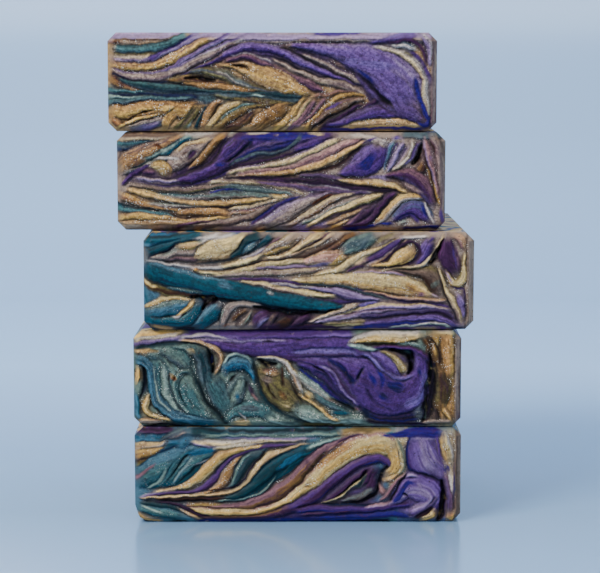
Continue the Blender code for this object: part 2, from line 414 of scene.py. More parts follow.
# %% Folds of the top bar: laid over those
TOP_FOLDS += [
    Fold("olive slate olive", (21, 15.5, 0.4), (26, 15.6, 1), (30, 14.6, 1.4), (33, 13, 1.3), (37, 11.4, 1),
        (41, 10.4, 0.8), (45, 9.7, 0.5)),
    Fold("mint stone", (28, 15.7, 0.3), (31, 14.4, 0.3), (34, 12.6, 0.3), (37, 11.4, 0.2), rise=0.7),
    Fold("olive bronze olive", (15, 13.3, 0.4), (20, 13.6, 1.1), (24, 13.2, 1.3), (28, 12.3, 1.2),
        (33, 11.4, 0.9), (39, 10.5, 0.3)),
    Fold("umber", (20.2, 13.6, 0.5), (22.2, 13.8, 0.7), (25, 13.4, 0.8), (28, 13.1, 0.4), sink=1.5),
    Fold("ochre ochre", (19, 12.4, 0.3), (25, 11.9, 0.7), (31, 11.5, 0.8), (37, 10.5, 0.3)),
    Fold("umber bronze ochre", (0, 14.3, 0.4), (2.4, 12.8, 1.1), (5, 11.7, 0.8), (9, 10.9, 0.3)),
    groove("ink", (1.5, 14.3, 0.25), (4, 12.9, 0.3), (7, 11.6, 0.3), (11, 10.7, 0.3)),
    Fold("sea pine slate", (2.6, 13.7, 0.3), (7, 12.3, 0.8), (12, 11.4, 1.2), (17, 10.9, 1.2),
        (22, 10.6, 0.9), (27, 10.2, 0.6), (33, 10, 0.6), (38, 9.6, 0.7), (43, 9.2, 0.9), (47, 9.1, 0.8),
        (51.6, 9.1, 0.3)),
    Fold("slate slate", (9, 10.9, 0.3), (15, 10.2, 0.4), (21, 9.9, 0.4), (27, 9.7, 0.4), rise=0.1),
    Fold("sea", (-1, 10.8, 0.6), (5, 10.4, 0.4), (10, 10.3, 0.2)),
    Fold("navy", (-1, 9.9, 0.3), (4, 9.5, 0.35), (9, 9.7, 0.3), (14, 9.4, 0.5), (19, 9.2, 0.6),
        (24, 8.9, 0.4), rise=0.2),
    Fold("mint sea", (-1, 8.9, 0.6), (5, 8.8, 0.4), (10, 9.2, 0.25)),
    Fold("sea slate", (-1, 7.6, 0.6), (4, 7.7, 0.6), (8, 8.4, 0.5), (12, 8.5, 0.6), (17, 8.3, 0.7),
        (22, 8.6, 0.4)),
    Fold("pine slate olive", (27, 9.6, 0.6), (31, 9.2, 0.9), (36, 9.2, 0.6), (42, 8.6, 0.8), (47, 8.1, 0.8),
        (50.6, 8.4, 0.4)),
    Fold("mint", (37, 9.6, 0.2), (39, 9.3, 0.35), (41, 8.8, 0.2), rise=0.7),
    Fold("olive bronze", (32, 8.4, 0.4), (38, 8.3, 0.7), (43, 7.3, 0.8), (49, 7.4, 0.3)),
    Fold("bronze ochre gold ochre", (0, 5.2, 1.4), (5, 5.3, 1.8), (10, 6.1, 1.7), (15, 6.2, 1.8),
        (20, 5.6, 2.1), (24, 6.5, 1.2)),
    Fold("tan ochre rust", (1.2, 4, 1), (2.6, 2.2, 0.9), (4, 1, 0.5)),
    Fold("gold", (2.4, 0.9, 0.4), (6, 2.8, 0.4), (10, 3.8, 0.4), (14, 4.3, 0.25), rise=0.7),
    groove("umber", (3, 2.2, 0.2), (6, 3.6, 0.25), (9, 5, 0.25), (13, 5.6, 0.2)),
    Fold("stone slate", (5, 0.4, 0.7), (9, 1.5, 1.3), (13, 2.3, 1.2), (15, 3.2, 0.5)),
    Fold("lilac dusk", (8, 0.5, 0.8), (11, 1.2, 0.9), (13.5, 2.2, 0.4)),
    Fold("gold ochre", (14.6, 0.5, 0.9), (16, 3.4, 1.3), (18.5, 5.6, 1)),
    Fold("olive", (17, 0.3, 0.5), (20, 3.2, 0.6), (23, 6.4, 0.6)),
    Fold("olive olive", (19, 0.4, 0.6), (21.4, 3.2, 0.8), (24, 6.3, 0.6)),
    Fold("mint", (20.6, 1, 0.3), (22, 2.6, 0.3), rise=0.6),
    Fold("pine", (22.6, 0.2, 0.5), (23.9, 3.6, 0.5), (26, 7.1, 0.5)),
    Fold("ochre ochre", (24.6, 0.2, 0.7), (25.6, 4, 1), (27.5, 6.8, 0.8), (30, 7.8, 0.3)),
    Fold("umber", (27, 3.6, 0.3), (28.1, 5.4, 0.45), (29.2, 7, 0.3), sink=0.7),
    Fold("cream gold", (25.6, 0.8, 0.7), (28.4, 4, 0.8), (31, 6.4, 0.9), (35, 7.8, 0.5)),
    Fold("sage sea", (29, 2.8, 0.3), (32, 5.3, 0.45), (35, 6.8, 0.4), (38.5, 7.5, 0.25)),
]

# %% Folds of the top bar: laid last
TOP_FOLDS += [
    Fold("olive bronze", (27.6, 0.6, 0.8), (31, 3, 0.9), (34, 5, 0.9), (38, 6.7, 0.6), (42, 7, 0.4)),
    Fold("umber bronze", (30, -0.2, 0.8), (33, 1.6, 1), (36, 3.4, 0.9), (38.4, 5.4, 0.5)),
    Fold("ink", (35.8, 3.4, 0.3), (37, 4.5, 0.45), (38.3, 5.3, 0.3), sink=0.8),
    Fold("ochre bronze ochre", (37, 0.6, 1), (40, 2.8, 1.9), (43.6, 4.8, 1.9), (46.5, 6.8, 0.8)),
    Fold("gold", (42.6, 0, 0.6), (46.6, 3.2, 0.8), (49.5, 6.6, 0.8), (51.6, 9.2, 0.5)),
    Fold("tan cream", (44.6, 0, 0.5), (48.2, 2.8, 0.6), (51, 6.2, 0.6), (52.8, 8.8, 0.4)),
    Fold("mauve mauve", (46.4, 0.2, 0.5), (50.2, 3.2, 0.7), (52.8, 6.6, 0.6), (54, 8.4, 0.3)),
    Fold("mauve", (48.6, 0.8, 0.3), (52.2, 3.8, 0.4), (55.2, 7.2, 0.5), (57, 8.8, 0.3)),
    Fold("mauve bronze", (53, 8.9, 0.4), (57, 9.4, 0.6), (61, 10.4, 0.45), (65, 10.3, 0.3)),
    Fold("gold bronze", (51, 0.2, 0.5), (54, 3.8, 0.6), (57.6, 7.2, 0.7), (61, 9.2, 0.8), (65, 9.6, 0.5),
        (67.4, 8.8, 0.3)),
    Fold("bronze taupe bronze", (53, 1.2, 0.6), (57, 4.8, 1.2), (61, 7.1, 1.3), (65, 8.1, 0.8),
        (67, 8.4, 0.3)),
    stain("violet", (56, 5.4, 0.3), (58.6, 6.7, 0.5), (60.6, 7.6, 0.3)),
    groove("ink", (51.6, -0.4, 0.3), (54, 1.6, 0.35), (57.4, 3.7, 0.4), (61, 5.4, 0.35), (65, 7.6, 0.4)),
    Fold("ink plum", (55, 0.8, 0.5), (59, 3.2, 0.9), (63, 5.5, 0.6), (66, 7.4, 0.3)),
    Fold("plum", (54.6, -0.4, 0.5), (59, 2.2, 0.5), (64, 4.6, 0.6), (68.6, 7.2, 0.8), (70, 9, 0.4)),
    Fold("dusk violet", (57, 1.4, 0.4), (63, 3.2, 1.1), (68, 5, 1.5), (73, 5.4, 1.9), (78, 4.8, 1.8),
        (82.6, 2.6, 0.8)),
    Fold("lilac lavender lavender dusk", (47, 22.4, 0.5), (54, 21.6, 1.1), (60, 20.6, 2), (66, 18.6, 3.6),
        (71, 15.4, 5.6), (75.4, 11.6, 6), (77.6, 8.4, 4.8), (78.6, 5.8, 3.2), rise=1),
    # Painted highlight: this lighter periwinkle band stands for light on the top of the violet lobe.
    stain("periwinkle lavender", (61, 18.2, 0.6), (65.5, 17.4, 1.2), (70, 16.6, 1.3), (74, 16.8, 0.7)),
    stain("indigo", (64.6, 16.2, 0.2), (67.4, 14.2, 0.45), (69, 12.2, 0.4)),
    Fold("ink", (46, 21.7, 0.25), (50, 20.9, 0.3), (55, 19.1, 0.3), (60, 16.9, 0.3), (65, 14.8, 0.4),
        (67.4, 13, 0.6), (69.6, 10.6, 0.6), (71.4, 8.2, 0.8), (73.2, 7.2, 0.7), (74.2, 6.2, 0.3), sink=0.7),
    Fold("pale cream", (69, 21.7, 0.3), (73.6, 21.1, 0.6), (77, 19.8, 0.8), (80, 17.4, 0.9),
        (81.8, 14.4, 0.7), (82.3, 10, 0.9), (83, 6, 0.6), (83.7, 2.8, 0.3)),
    Fold("steel pale", (73, 22.3, 0.4), (77, 22.2, 0.8), (80.4, 21, 0.5)),
    stain("olive", (76.4, 20.3, 0.2), (78, 20.2, 0.4), (79.6, 18.6, 0.3)),
    Fold("periwinkle violet", (68, 22.9, 0.4), (73, 23.7, 0.8), (77, 24.6, 1.1), (80.4, 25, 0.7)),
    Fold("plum", (72, 22.8, 0.3), (75.6, 23.2, 0.5), (79, 23.3, 0.5), (81, 21.8, 0.5), (82.2, 19.4, 0.5),
        (82.8, 17, 0.3)),
    Fold("pale lilac violet", (81.2, 25, 0.5), (83, 22.8, 1), (83.4, 19.6, 0.6), (83.5, 16.5, 0.4)),
    Fold("indigo", (79.6, 14.4, 0.3), (80.1, 11.6, 0.65), (81.1, 8.4, 0.7), (82.4, 5.2, 0.6),
        (83.6, 2.8, 0.6), (82.4, 1.4, 0.7), (80, 2.4, 0.3), rise=0.5),
    stain("plum", (80.2, 14, 0.4), (82, 13.4, 0.4)),
    Fold("mauve stone mauve", (84.9, 26, 0.8), (84.9, 14, 0.9), (84.9, -1, 0.8)),
    Fold("cream tan gold", (60.6, 0.9, 0.5), (65, 1.8, 1), (70, 2.3, 1.2), (75, 2.2, 1.2), (79, 1.7, 0.7),
        (81.4, 1, 0.3)),
    Fold("indigo violet", (56, 0.2, 0.6), (63, 0.4, 0.5), (68, 0.7, 0.4), (74, 0.9, 0.4), (82, 0.4, 0.5)),
]
print(len(TOP_FOLDS), "folds on the top bar")
# %% [markdown]
# ## The upper bar
#
# Everything on its left flows out of one point near the left edge: violet ribbons above, long
# gold and teal threads below. A blue-violet mass fills the middle of the upper side, and on the
# right stands a violet almond beside a fan of pale petals and a dark hollow.

# %% Folds of the upper bar: the deepest
UPPER_FOLDS = [
    stain("dusk violet plum", (6, 15, 2), (26, 18, 4), (38, 23, 4), (56, 26, 2)),
    stain("lilac dusk lilac", (44, 2, 3), (58, 7, 5), (74, 11, 4)),
    Fold("umber taupe bronze", (-1, 25, 1), (10, 24.8, 0.9), (16, 25, 0.6)),
    Fold("stone cream", (-1, 24, 0.7), (5, 23.9, 0.6), (13, 24.1, 0.5), (20, 25, 0.6)),
    Fold("pine", (5, 23.2, 0.3), (9, 23.3, 0.35), (13, 23.7, 0.2)),
    Fold("teal sea", (-1, 22.8, 0.7), (5, 22.7, 0.6), (9, 23, 0.3)),
    Fold("slate navy", (-1, 21.6, 0.8), (4, 21.7, 0.7), (7, 22.3, 0.4)),
    Fold("pale stone", (17, 24.6, 0.7), (22, 24.8, 0.8), (26, 25.4, 0.6)),
    Fold("sage stone", (0, 16, 1.6), (5, 16.5, 1.4), (12, 18.4, 1.6), (17, 21, 2.2), (22, 23.4, 1.6)),
    Fold("taupe ochre ochre", (0.4, 16.4, 1.3), (3, 18.4, 2.2), (6.6, 20.2, 2.1), (10, 21.8, 1.5),
        (14, 23.4, 0.9), (17, 24.6, 0.6)),
    Fold("rust", (10.2, 22.4, 0.3), (11.4, 21.6, 0.4), (11.8, 20.8, 0.2), sink=0.3),
    stain("rust", (6.8, 18.3, 0.25), (7.4, 18.1, 0.25)),
    Fold("mint sea", (7, 18.4, 0.4), (11, 20, 0.8), (15, 21.9, 1), (18, 23.6, 0.8), (20, 25, 0.4)),
    Fold("teal", (12.4, 19.2, 0.5), (14.8, 20.9, 0.6), (17, 22.8, 0.5), (19.6, 24.4, 0.2)),
    Fold("pine", (3, 15.8, 0.25), (7, 17.2, 0.3), (11, 19.2, 0.35), (14, 19.6, 0.25), rise=0.1),
    Fold("stone stone taupe", (13, 15.6, 1.2), (15.6, 18, 2.2), (19, 20.6, 2.2), (22.6, 22.6, 1.6),
        (26, 24.4, 0.9)),
    Fold("cream tan", (15.6, 20.6, 0.5), (19, 22.6, 0.5), (24, 23.6, 0.6)),
    Fold("plum", (18.4, 18.6, 0.4), (19.8, 20.2, 0.7), (21, 21.2, 0.3)),
    stain("umber", (16.6, 20, 0.25), (18.6, 20.4, 0.25)),
    Fold("pale", (9.8, 18.5, 0.3), (13, 18.9, 0.4), (16.4, 18.6, 0.3), rise=0.7),
    Fold("gold cream", (8.6, 16.6, 0.5), (11, 16.9, 1.3), (12.8, 15.9, 1.7), (13.6, 14.4, 0.7), rise=0.9),
    Fold("mauve plum", (5, 15.6, 0.6), (8, 15.7, 0.9), (10.6, 15.2, 0.7)),
    Fold("violet plum", (0.8, 11.6, 0.3), (2.6, 13.2, 0.6), (4.6, 14.8, 0.8), (7, 16.4, 0.5),
        (9, 16.9, 0.2)),
    Fold("tan ochre bronze bronze", (18.6, 15.8, 0.4), (21.6, 18.6, 0.9), (24.2, 21.4, 1), (26.8, 23.8, 0.9),
        (28.6, 25.4, 0.5), rise=0.9),
    Fold("stone mint", (31, 25.2, 1), (29.4, 24.7, 0.5)),
    Fold("plum violet plum", (13, 12.7, 0.4), (17, 13.5, 0.9), (21, 14.6, 1.6), (25, 16.3, 2),
        (28.6, 18.8, 2.6), (31.4, 21.6, 2.6), (34, 24.4, 1.8)),
    Fold("violet violet", (27, 19.4, 1.4), (29.6, 21.6, 1.5), (32, 23.8, 0.9), rise=1),
    Fold("violet dusk lavender", (29, 17.2, 0.8), (34, 19.8, 1.3), (39, 21.6, 1.4), (44, 22.9, 1.4),
        (50, 23.8, 1.2), (57, 24.8, 0.8)),
    Fold("indigo navy", (31, 18.2, 0.5), (36, 20.7, 0.6), (42, 21.8, 0.7), (48, 23.2, 0.6)),
    stain("indigo", (25.4, 17.1, 0.3), (27, 17.3, 0.6), (28.6, 17.6, 0.3)),
    Fold("ink navy", (28.4, 17.8, 0.3), (31.6, 19.9, 0.4), (34, 22.2, 0.4), (35.8, 23.7, 0.25), rise=0.1),
    stain("indigo", (32, 23.9, 0.4), (36, 24.3, 0.9), (42, 24.6, 1.4), (48, 25, 1.2), (53, 25.4, 0.6)),
    stain("pale cream", (34, 25.2, 0.3), (37, 25.2, 0.35), (40, 25.3, 0.2)),
    Fold("lilac plum", (19, 16.2, 0.2), (23, 17.2, 0.4), (26.6, 20.4, 0.4), (28.8, 24.4, 0.3), rise=0.2),
    Fold("plum ink", (3.4, 14.3, 0.25), (7, 14.3, 0.3), (10, 13.8, 0.3), (13, 13.4, 0.35), (16, 14, 0.4),
        (19.6, 15.6, 0.45), (23, 17, 0.4), (25.4, 19, 0.45), (27.4, 22, 0.4), (28.8, 25, 0.3), rise=0.1),
    Fold("stone lilac", (4.6, 13.6, 0.4), (8, 13.4, 0.5), (12, 12.9, 0.4), (16, 12.9, 0.3)),
    Fold("slate slate", (29, 16.9, 0.3), (33, 18.9, 0.5), (37, 20, 0.5), (41, 20.2, 0.4), (44, 21.2, 0.45),
        (46.6, 23, 0.5), (48, 25, 0.5)),
    Fold("ink plum", (28, 15.7, 0.3), (32, 17.2, 0.5), (36, 18, 0.6), (41, 18.9, 0.6), (45, 19.9, 0.5),
        (49, 21.2, 0.5), (52.6, 23, 0.5), (57, 24.6, 0.4), rise=0.3),
    Fold("violet", (46, 21, 0.6), (50, 22.6, 1.1), (54, 24.2, 0.8)),
    stain("pale cream cream", (50, 25.4, 0.5), (54, 25.2, 0.4)),
    groove("ink violet", (2.6, 12.9, 0.2), (7, 12.5, 0.25), (11, 11.8, 0.3), (16, 11.8, 0.35),
        (21, 12.3, 0.4), (25, 13.3, 0.4), (28, 14.6, 0.4), (31, 15.9, 0.3)),
]

# %% Folds of the upper bar: laid over those
UPPER_FOLDS += [
    Fold("lilac cream cream", (29, 14.8, 0.4), (33, 16.2, 0.6), (38, 16.7, 0.6), (42, 17.3, 0.7),
        (46, 18.5, 0.8), (50, 20.4, 0.9), (54, 22.4, 0.9), (58, 24, 0.8), rise=0.8),
    groove("mauve", (34, 15.9, 0.2), (42, 16.4, 0.2), (47, 17.8, 0.25), (52, 20.1, 0.25), (58, 22.8, 0.3)),
    Fold("stone rose rose", (31, 15.1, 0.4), (36, 15.5, 0.6), (41, 15.8, 0.6), (46, 17, 0.8),
        (51, 18.9, 1.1), (56, 21.1, 1.2), (60, 22.8, 0.9), (65, 24.6, 0.6)),
    Fold("rose gold tan", (31, 14.3, 0.4), (37, 14.7, 0.5), (43, 14.9, 0.7), (48, 15.9, 0.9), (53, 17.5, 1),
        (57, 19.2, 0.9), (61, 21.2, 0.8), (65, 23.2, 0.5), rise=0.8),
    # Painted shadow: this dark groove is the shade along the lower edge of the gold leaf.
    groove("ink umber", (41, 13.9, 0.3), (47, 14.8, 0.3), (53, 15.7, 0.4), (57, 16.8, 0.5), (60, 18.6, 0.6),
        (62.4, 20.8, 0.5), (64.6, 22.6, 0.3)),
    Fold("plum ink plum", (28, 13.7, 0.3), (33, 13.9, 0.5), (38, 13.8, 0.5), (43, 13.4, 0.7),
        (48, 13.1, 0.7), (53, 12.8, 0.9), (58, 11.9, 0.7), (63, 11.3, 0.7), (68, 10.9, 0.7), (72, 10.3, 0.4),
        (75, 10.1, 0.2), rise=0.2),
    Fold("dusk mauve", (47, 14.3, 0.3), (53, 14.4, 0.5), (57, 13.7, 0.6), (61, 12.9, 0.4)),
    Fold("pale lilac", (44, 12.1, 0.2), (50, 11.9, 0.3), (56, 11.2, 0.3), (62, 10.4, 0.3), (67, 10, 0.2)),
    Fold("stone cream", (24, 12.5, 0.4), (29, 12.9, 0.6), (34, 12.7, 0.6), (39, 12.1, 0.5), (44, 11, 0.4),
        (49, 9.5, 0.25)),
    Fold("mauve dusk mauve", (36, 12.8, 0.4), (42, 12.1, 0.6), (48, 11.3, 0.8), (54, 10.7, 0.7),
        (60, 10.1, 0.6), (66, 9.9, 0.4), rise=0.3),
    Fold("slate sage", (24, 11.2, 0.4), (29, 11.5, 0.7), (35, 11, 0.8), (41, 10.3, 0.6), (46, 9.4, 0.3)),
    Fold("stone taupe olive", (2.6, 11.8, 0.3), (8, 11.1, 0.5), (14, 10.6, 0.6), (20, 10.7, 0.7),
        (25, 11.4, 0.5), (29, 12, 0.3)),
    groove("pine", (7, 10.2, 0.2), (13, 9.6, 0.25), (19, 9.6, 0.2), (24, 9.9, 0.2)),
    Fold("indigo", (23.6, 9.9, 0.2), (27, 10.2, 0.45), (30, 10.5, 0.4), (33.4, 10.2, 0.25)),
    Fold("sea stone", (8, 9.7, 0.2), (12, 9.2, 0.5), (17, 8.8, 0.7), (22, 8.6, 0.7), (26, 8.8, 0.5)),
    Fold("slate sage stone", (23, 8.9, 0.5), (28, 9.4, 0.9), (33, 9.4, 0.9), (38, 9.2, 0.6), (42, 9.2, 0.4)),
    Fold("gold cream", (40, 9.3, 0.6), (43, 8.9, 0.6), (45, 8.6, 0.3)),
    Fold("cream gold tan", (2.6, 10.8, 0.5), (6, 10, 0.8), (10, 8.9, 0.8), (14, 8, 0.7), (18, 7.4, 0.7),
        (23, 7.1, 0.7), (28, 7.1, 0.7), (34, 7.7, 0.6), (40, 8.6, 0.4), rise=0.9),
    groove("umber", (7, 8.5, 0.15), (11, 7.3, 0.2), (16, 6.6, 0.2)),
    Fold("gold ochre olive", (0.6, 9.2, 0.9), (3, 8.4, 1.2), (6, 7.2, 0.9), (10, 6.2, 0.7), (14, 5.5, 0.5),
        (18, 5.1, 0.3)),
    Fold("sage stone", (8, 7.2, 0.3), (13, 6.5, 0.6), (18, 6.2, 0.5), (24, 6.3, 0.2)),
    groove("plum umber", (13, 6.1, 0.15), (19, 5.9, 0.25), (25, 6.1, 0.25), (30, 6, 0.3), (36, 6.5, 0.3)),
    Fold("tan ochre bronze", (15, 4.6, 0.4), (19, 4.9, 0.9), (24, 5, 1.1), (28, 4.5, 0.9), (29.6, 4, 0.4)),
    Fold("cream stone", (29, 5.5, 0.4), (34, 6.1, 0.7), (39, 7.3, 0.6), (43, 8.2, 0.3)),
    Fold("mauve tan", (29, 4.4, 0.4), (35, 5.2, 0.7), (39.6, 6.2, 0.5)),
    groove("pine", (-1, 7.1, 0.4), (3, 6.3, 0.4), (6, 5.7, 0.3), (9.4, 5.5, 0.2)),
    Fold("teal sea mint", (-1, 6.1, 0.8), (4, 5.2, 0.6), (8, 4.9, 0.5), (12, 4.4, 0.6), (15.4, 3.7, 0.3)),
    groove("umber", (12, 4.8, 0.2), (15, 3.9, 0.25), (18, 3.4, 0.3), (22, 3.7, 0.2)),
    Fold("tan gold cream", (0, 3.7, 0.9), (5, 3.8, 0.9), (9, 3.6, 0.9), (14, 2.9, 0.7), (19, 2.6, 0.5),
        (25, 3.1, 0.5), (30, 3.4, 0.4)),
    stain("gold", (1, 2.8, 0.5), (4, 2.7, 0.5), (7, 2.9, 0.3)),
    Fold("tan stone", (-1, 1.2, 1), (8, 1.5, 1.2), (15, 1.6, 1.1), (20, 1.8, 0.6)),
    Fold("mauve plum", (15, 0.9, 0.6), (20, 2.2, 0.4), (25, 2.5, 0.35)),
    Fold("stone taupe taupe", (19, 0.6, 0.8), (25, 1.6, 0.8), (31, 2.7, 1), (36, 4.2, 0.9), (41, 6.4, 0.8)),
    Fold("lilac stone stone", (35, 0.4, 1), (41, 3.4, 2.1), (46, 6, 1.7), (51, 8, 1), (56, 9.6, 0.5)),
    Fold("indigo plum", (34.8, 1.7, 0.3), (37, 3, 0.6), (40, 5.1, 0.55), (43, 7.1, 0.55), (46, 8.4, 0.4),
        (48.4, 9.1, 0.2), rise=0.3),
    Fold("rust umber", (50.6, 6.2, 0.2), (52.4, 7.6, 0.5), (54.6, 8.7, 0.45), (57, 9.6, 0.2), rise=0.1),
    groove("umber", (44, 2, 0.15), (47, 3.4, 0.2), (50, 5.4, 0.25)),
    Fold("cream stone bronze", (44.6, 1.2, 0.5), (49, 3.6, 0.8), (53, 6.1, 0.9), (57, 8.5, 0.8),
        (62, 9.8, 0.4)),
    Fold("stone sage", (48, 1.6, 0.5), (52, 3.6, 0.7), (56, 5.8, 0.8), (61, 7.8, 0.8), (66, 9.2, 0.4)),
    Fold("cream cream olive", (49.4, 0.6, 0.4), (54, 3.8, 0.6), (59, 5.6, 0.9), (63, 7.3, 1), (67, 8.7, 0.9),
        (69.6, 9.5, 0.3), rise=0.9),
    groove("mauve", (52.6, 2.2, 0.2), (57, 3.9, 0.3), (62, 5.4, 0.35), (66, 6.9, 0.35), (68.4, 7.9, 0.2)),
]

# %% Folds of the upper bar: laid last
UPPER_FOLDS += [
    Fold("tan taupe", (54, 1.4, 0.5), (58, 2.9, 0.7), (62, 4.6, 0.6), (64.4, 5.6, 0.3)),
    Fold("gold tan", (55.6, 0.6, 0.6), (58.4, 1.8, 0.5), (61, 3, 0.2)),
    Fold("mauve violet", (59.6, 1, 0.6), (62, 3, 0.6), (64.6, 5.2, 0.5)),
    Fold("plum ink", (61.6, 1.8, 0.5), (65, 4.4, 0.8), (67.6, 6.8, 0.5)),
    Fold("plum plum ink", (58, 0.4, 0.6), (63.6, 1.6, 0.8), (66.8, 3.8, 1), (69, 6.7, 1), (71, 8.9, 0.9),
        (73.4, 10, 0.3)),
    Fold("indigo", (59, 0.3, 0.6), (65, 0.9, 0.5), (68.4, 1.7, 0.4), (72.4, 1.9, 0.5), rise=0.3),
    Fold("cream gold pale", (67.2, 1.6, 0.4), (69.6, 3.8, 1.1), (72, 6.8, 1.1), (75, 8.8, 1), (79, 8.9, 0.8),
        (80.4, 8, 0.3)),
    Fold("steel violet violet", (71.6, 2.6, 0.5), (74.6, 4.8, 1.7), (77.6, 6, 1.9), (80, 4.8, 1.8),
        (82.2, 2.6, 1)),
    stain("indigo", (79.4, 7, 0.4), (80.4, 5, 0.6), (81, 3.4, 0.5)),
    Fold("indigo violet", (73, 2.4, 0.3), (75, 3.9, 0.4), (77.4, 3.8, 0.45), (78.8, 2, 0.4), rise=0.2),
    Fold("mint stone", (73.6, 1.6, 0.5), (76.2, 2.4, 0.5), rise=0.5),
    Fold("pale", (79.8, 7.9, 0.25), (81.2, 4.9, 0.35), (82.3, 2.6, 0.35), (82.6, 1.6, 0.2), rise=0.7),
    Fold("indigo ink", (74, 0.5, 0.5), (80, 0.9, 0.5), (86, 0.9, 0.4), rise=0.2),
    Fold("lavender violet violet", (57.4, 15, 0.4), (60.6, 15.6, 1.4), (63.6, 16.8, 2.6), (66, 18.6, 3.3),
        (68, 20.6, 2.4), (67.6, 23, 1), rise=1),
    stain("indigo", (62.8, 16.4, 0.8), (64.8, 17, 1.3), (66, 18.6, 1.1), (67.2, 20, 0.6)),
    stain("indigo", (65.4, 15.3, 0.3), (66.4, 15.6, 0.5)),
    Fold("pale stone", (60, 24.4, 0.7), (65, 24.3, 0.8), (69, 22.9, 0.9), (70.6, 22.2, 0.6)),
    stain("violet", (63.4, 22.4, 0.2), (65.6, 23.4, 0.35), (68.4, 24.2, 0.3)),
    Fold("lavender steel pale", (69.6, 15, 0.2), (70.3, 18.2, 0.5), (71.2, 21.4, 0.7), (72.6, 23.4, 0.6)),
    Fold("lilac lilac", (70.4, 15.2, 0.2), (72, 18, 0.7), (73.4, 20.8, 0.6), (74.8, 23.2, 0.5), rise=0.8),
    Fold("lilac cream", (71.4, 15.5, 0.3), (73.8, 17.4, 0.6), (75.3, 19.8, 0.5), (76.2, 22.4, 0.5)),
    Fold("pale cream", (72.4, 15.9, 0.3), (75.2, 17.8, 0.5), (76.4, 20.4, 0.45), (77.2, 23.6, 0.5),
        rise=0.8),
    groove("violet", (70.7, 16.6, 0.15), (71.4, 19.1, 0.2), (72.6, 21.8, 0.25), (73.6, 23, 0.3)),
    groove("violet", (73, 17.4, 0.15), (74.6, 19.4, 0.2), (75.4, 22, 0.25)),
    Fold("violet lilac", (74.6, 16.7, 0.3), (76.8, 18.8, 0.45), (77.6, 21.3, 0.6), (79, 23.2, 0.6)),
    stain("violet periwinkle", (71.8, 24, 0.5), (74.4, 24.3, 0.7)),
    Fold("slate slate", (74, 25.2, 0.8), (79, 24.9, 0.9), (86, 25, 0.8)),
    Fold("bronze umber", (78.6, 14.6, 0.8), (79.6, 16.8, 1.1), (79.8, 18.6, 0.8)),
    Fold("ink umber", (77.2, 17.2, 0.5), (78.2, 18.8, 1), (79, 20.9, 0.8), (79.5, 22.9, 0.3), sink=1.9),
    Fold("mauve plum dusk", (69.8, 14.3, 0.3), (73, 14.7, 1), (76.4, 14.3, 1.8), (79, 12.4, 2.3),
        (81, 9.6, 1.7), (82.6, 6.2, 0.8)),
    groove("umber", (70, 14.4, 0.2), (72.4, 13.4, 0.3), (75.2, 11.9, 0.25)),
    Fold("stone mauve", (74.8, 12.6, 0.4), (77, 11.2, 0.8), (79.4, 10, 0.6)),
    Fold("cream gold tan", (57.4, 13.3, 0.3), (62, 12.7, 0.6), (67, 12.5, 0.8), (71, 11.9, 0.8),
        (74, 10.8, 0.6), (76, 10.1, 0.25), rise=0.9),
    Fold("mauve rose lilac", (80.4, 24.4, 0.5), (80.8, 21, 0.8), (81.4, 18, 0.8), (83.2, 13.6, 0.6),
        (84, 9, 0.5)),
    Fold("bronze gold umber", (80.4, 17.4, 0.3), (82, 13.6, 0.5), (83.2, 10, 0.5), (84.2, 6.6, 0.4)),
    groove("ink umber", (79.8, 21.6, 0.2), (80.4, 18.4, 0.35), (81.8, 14.8, 0.4), (82.8, 10.8, 0.35),
        (83.8, 7.4, 0.25)),
    Fold("taupe stone mauve", (82.2, 25, 0.9), (84, 20.5, 1.2), (84.8, 16, 1.2), (85.2, 10, 0.9),
        (85.4, 2, 0.8)),
    groove("umber", (81.4, 23.6, 0.25), (82.4, 21.6, 0.3), (83.2, 19.6, 0.2)),
    stain("indigo lavender", (81.2, 19.6, 0.3), (82, 18.6, 0.6)),
    stain("violet lavender", (84.4, 6, 0.3), (84.8, 3.6, 0.6), (85.2, 1.4, 0.5)),
]
print(len(UPPER_FOLDS), "folds on the upper bar")
# %% [markdown]
# ## The middle bar
#
# One broad teal ridge leaves the left edge and falls across the bar. Above it, cream threads and
# tan leaves rise to the right; below it lie rounded teal lobes with a deep gap between them. The
# right end has a gold almond inside a plum ring, and a dark hollow beside a plum block.

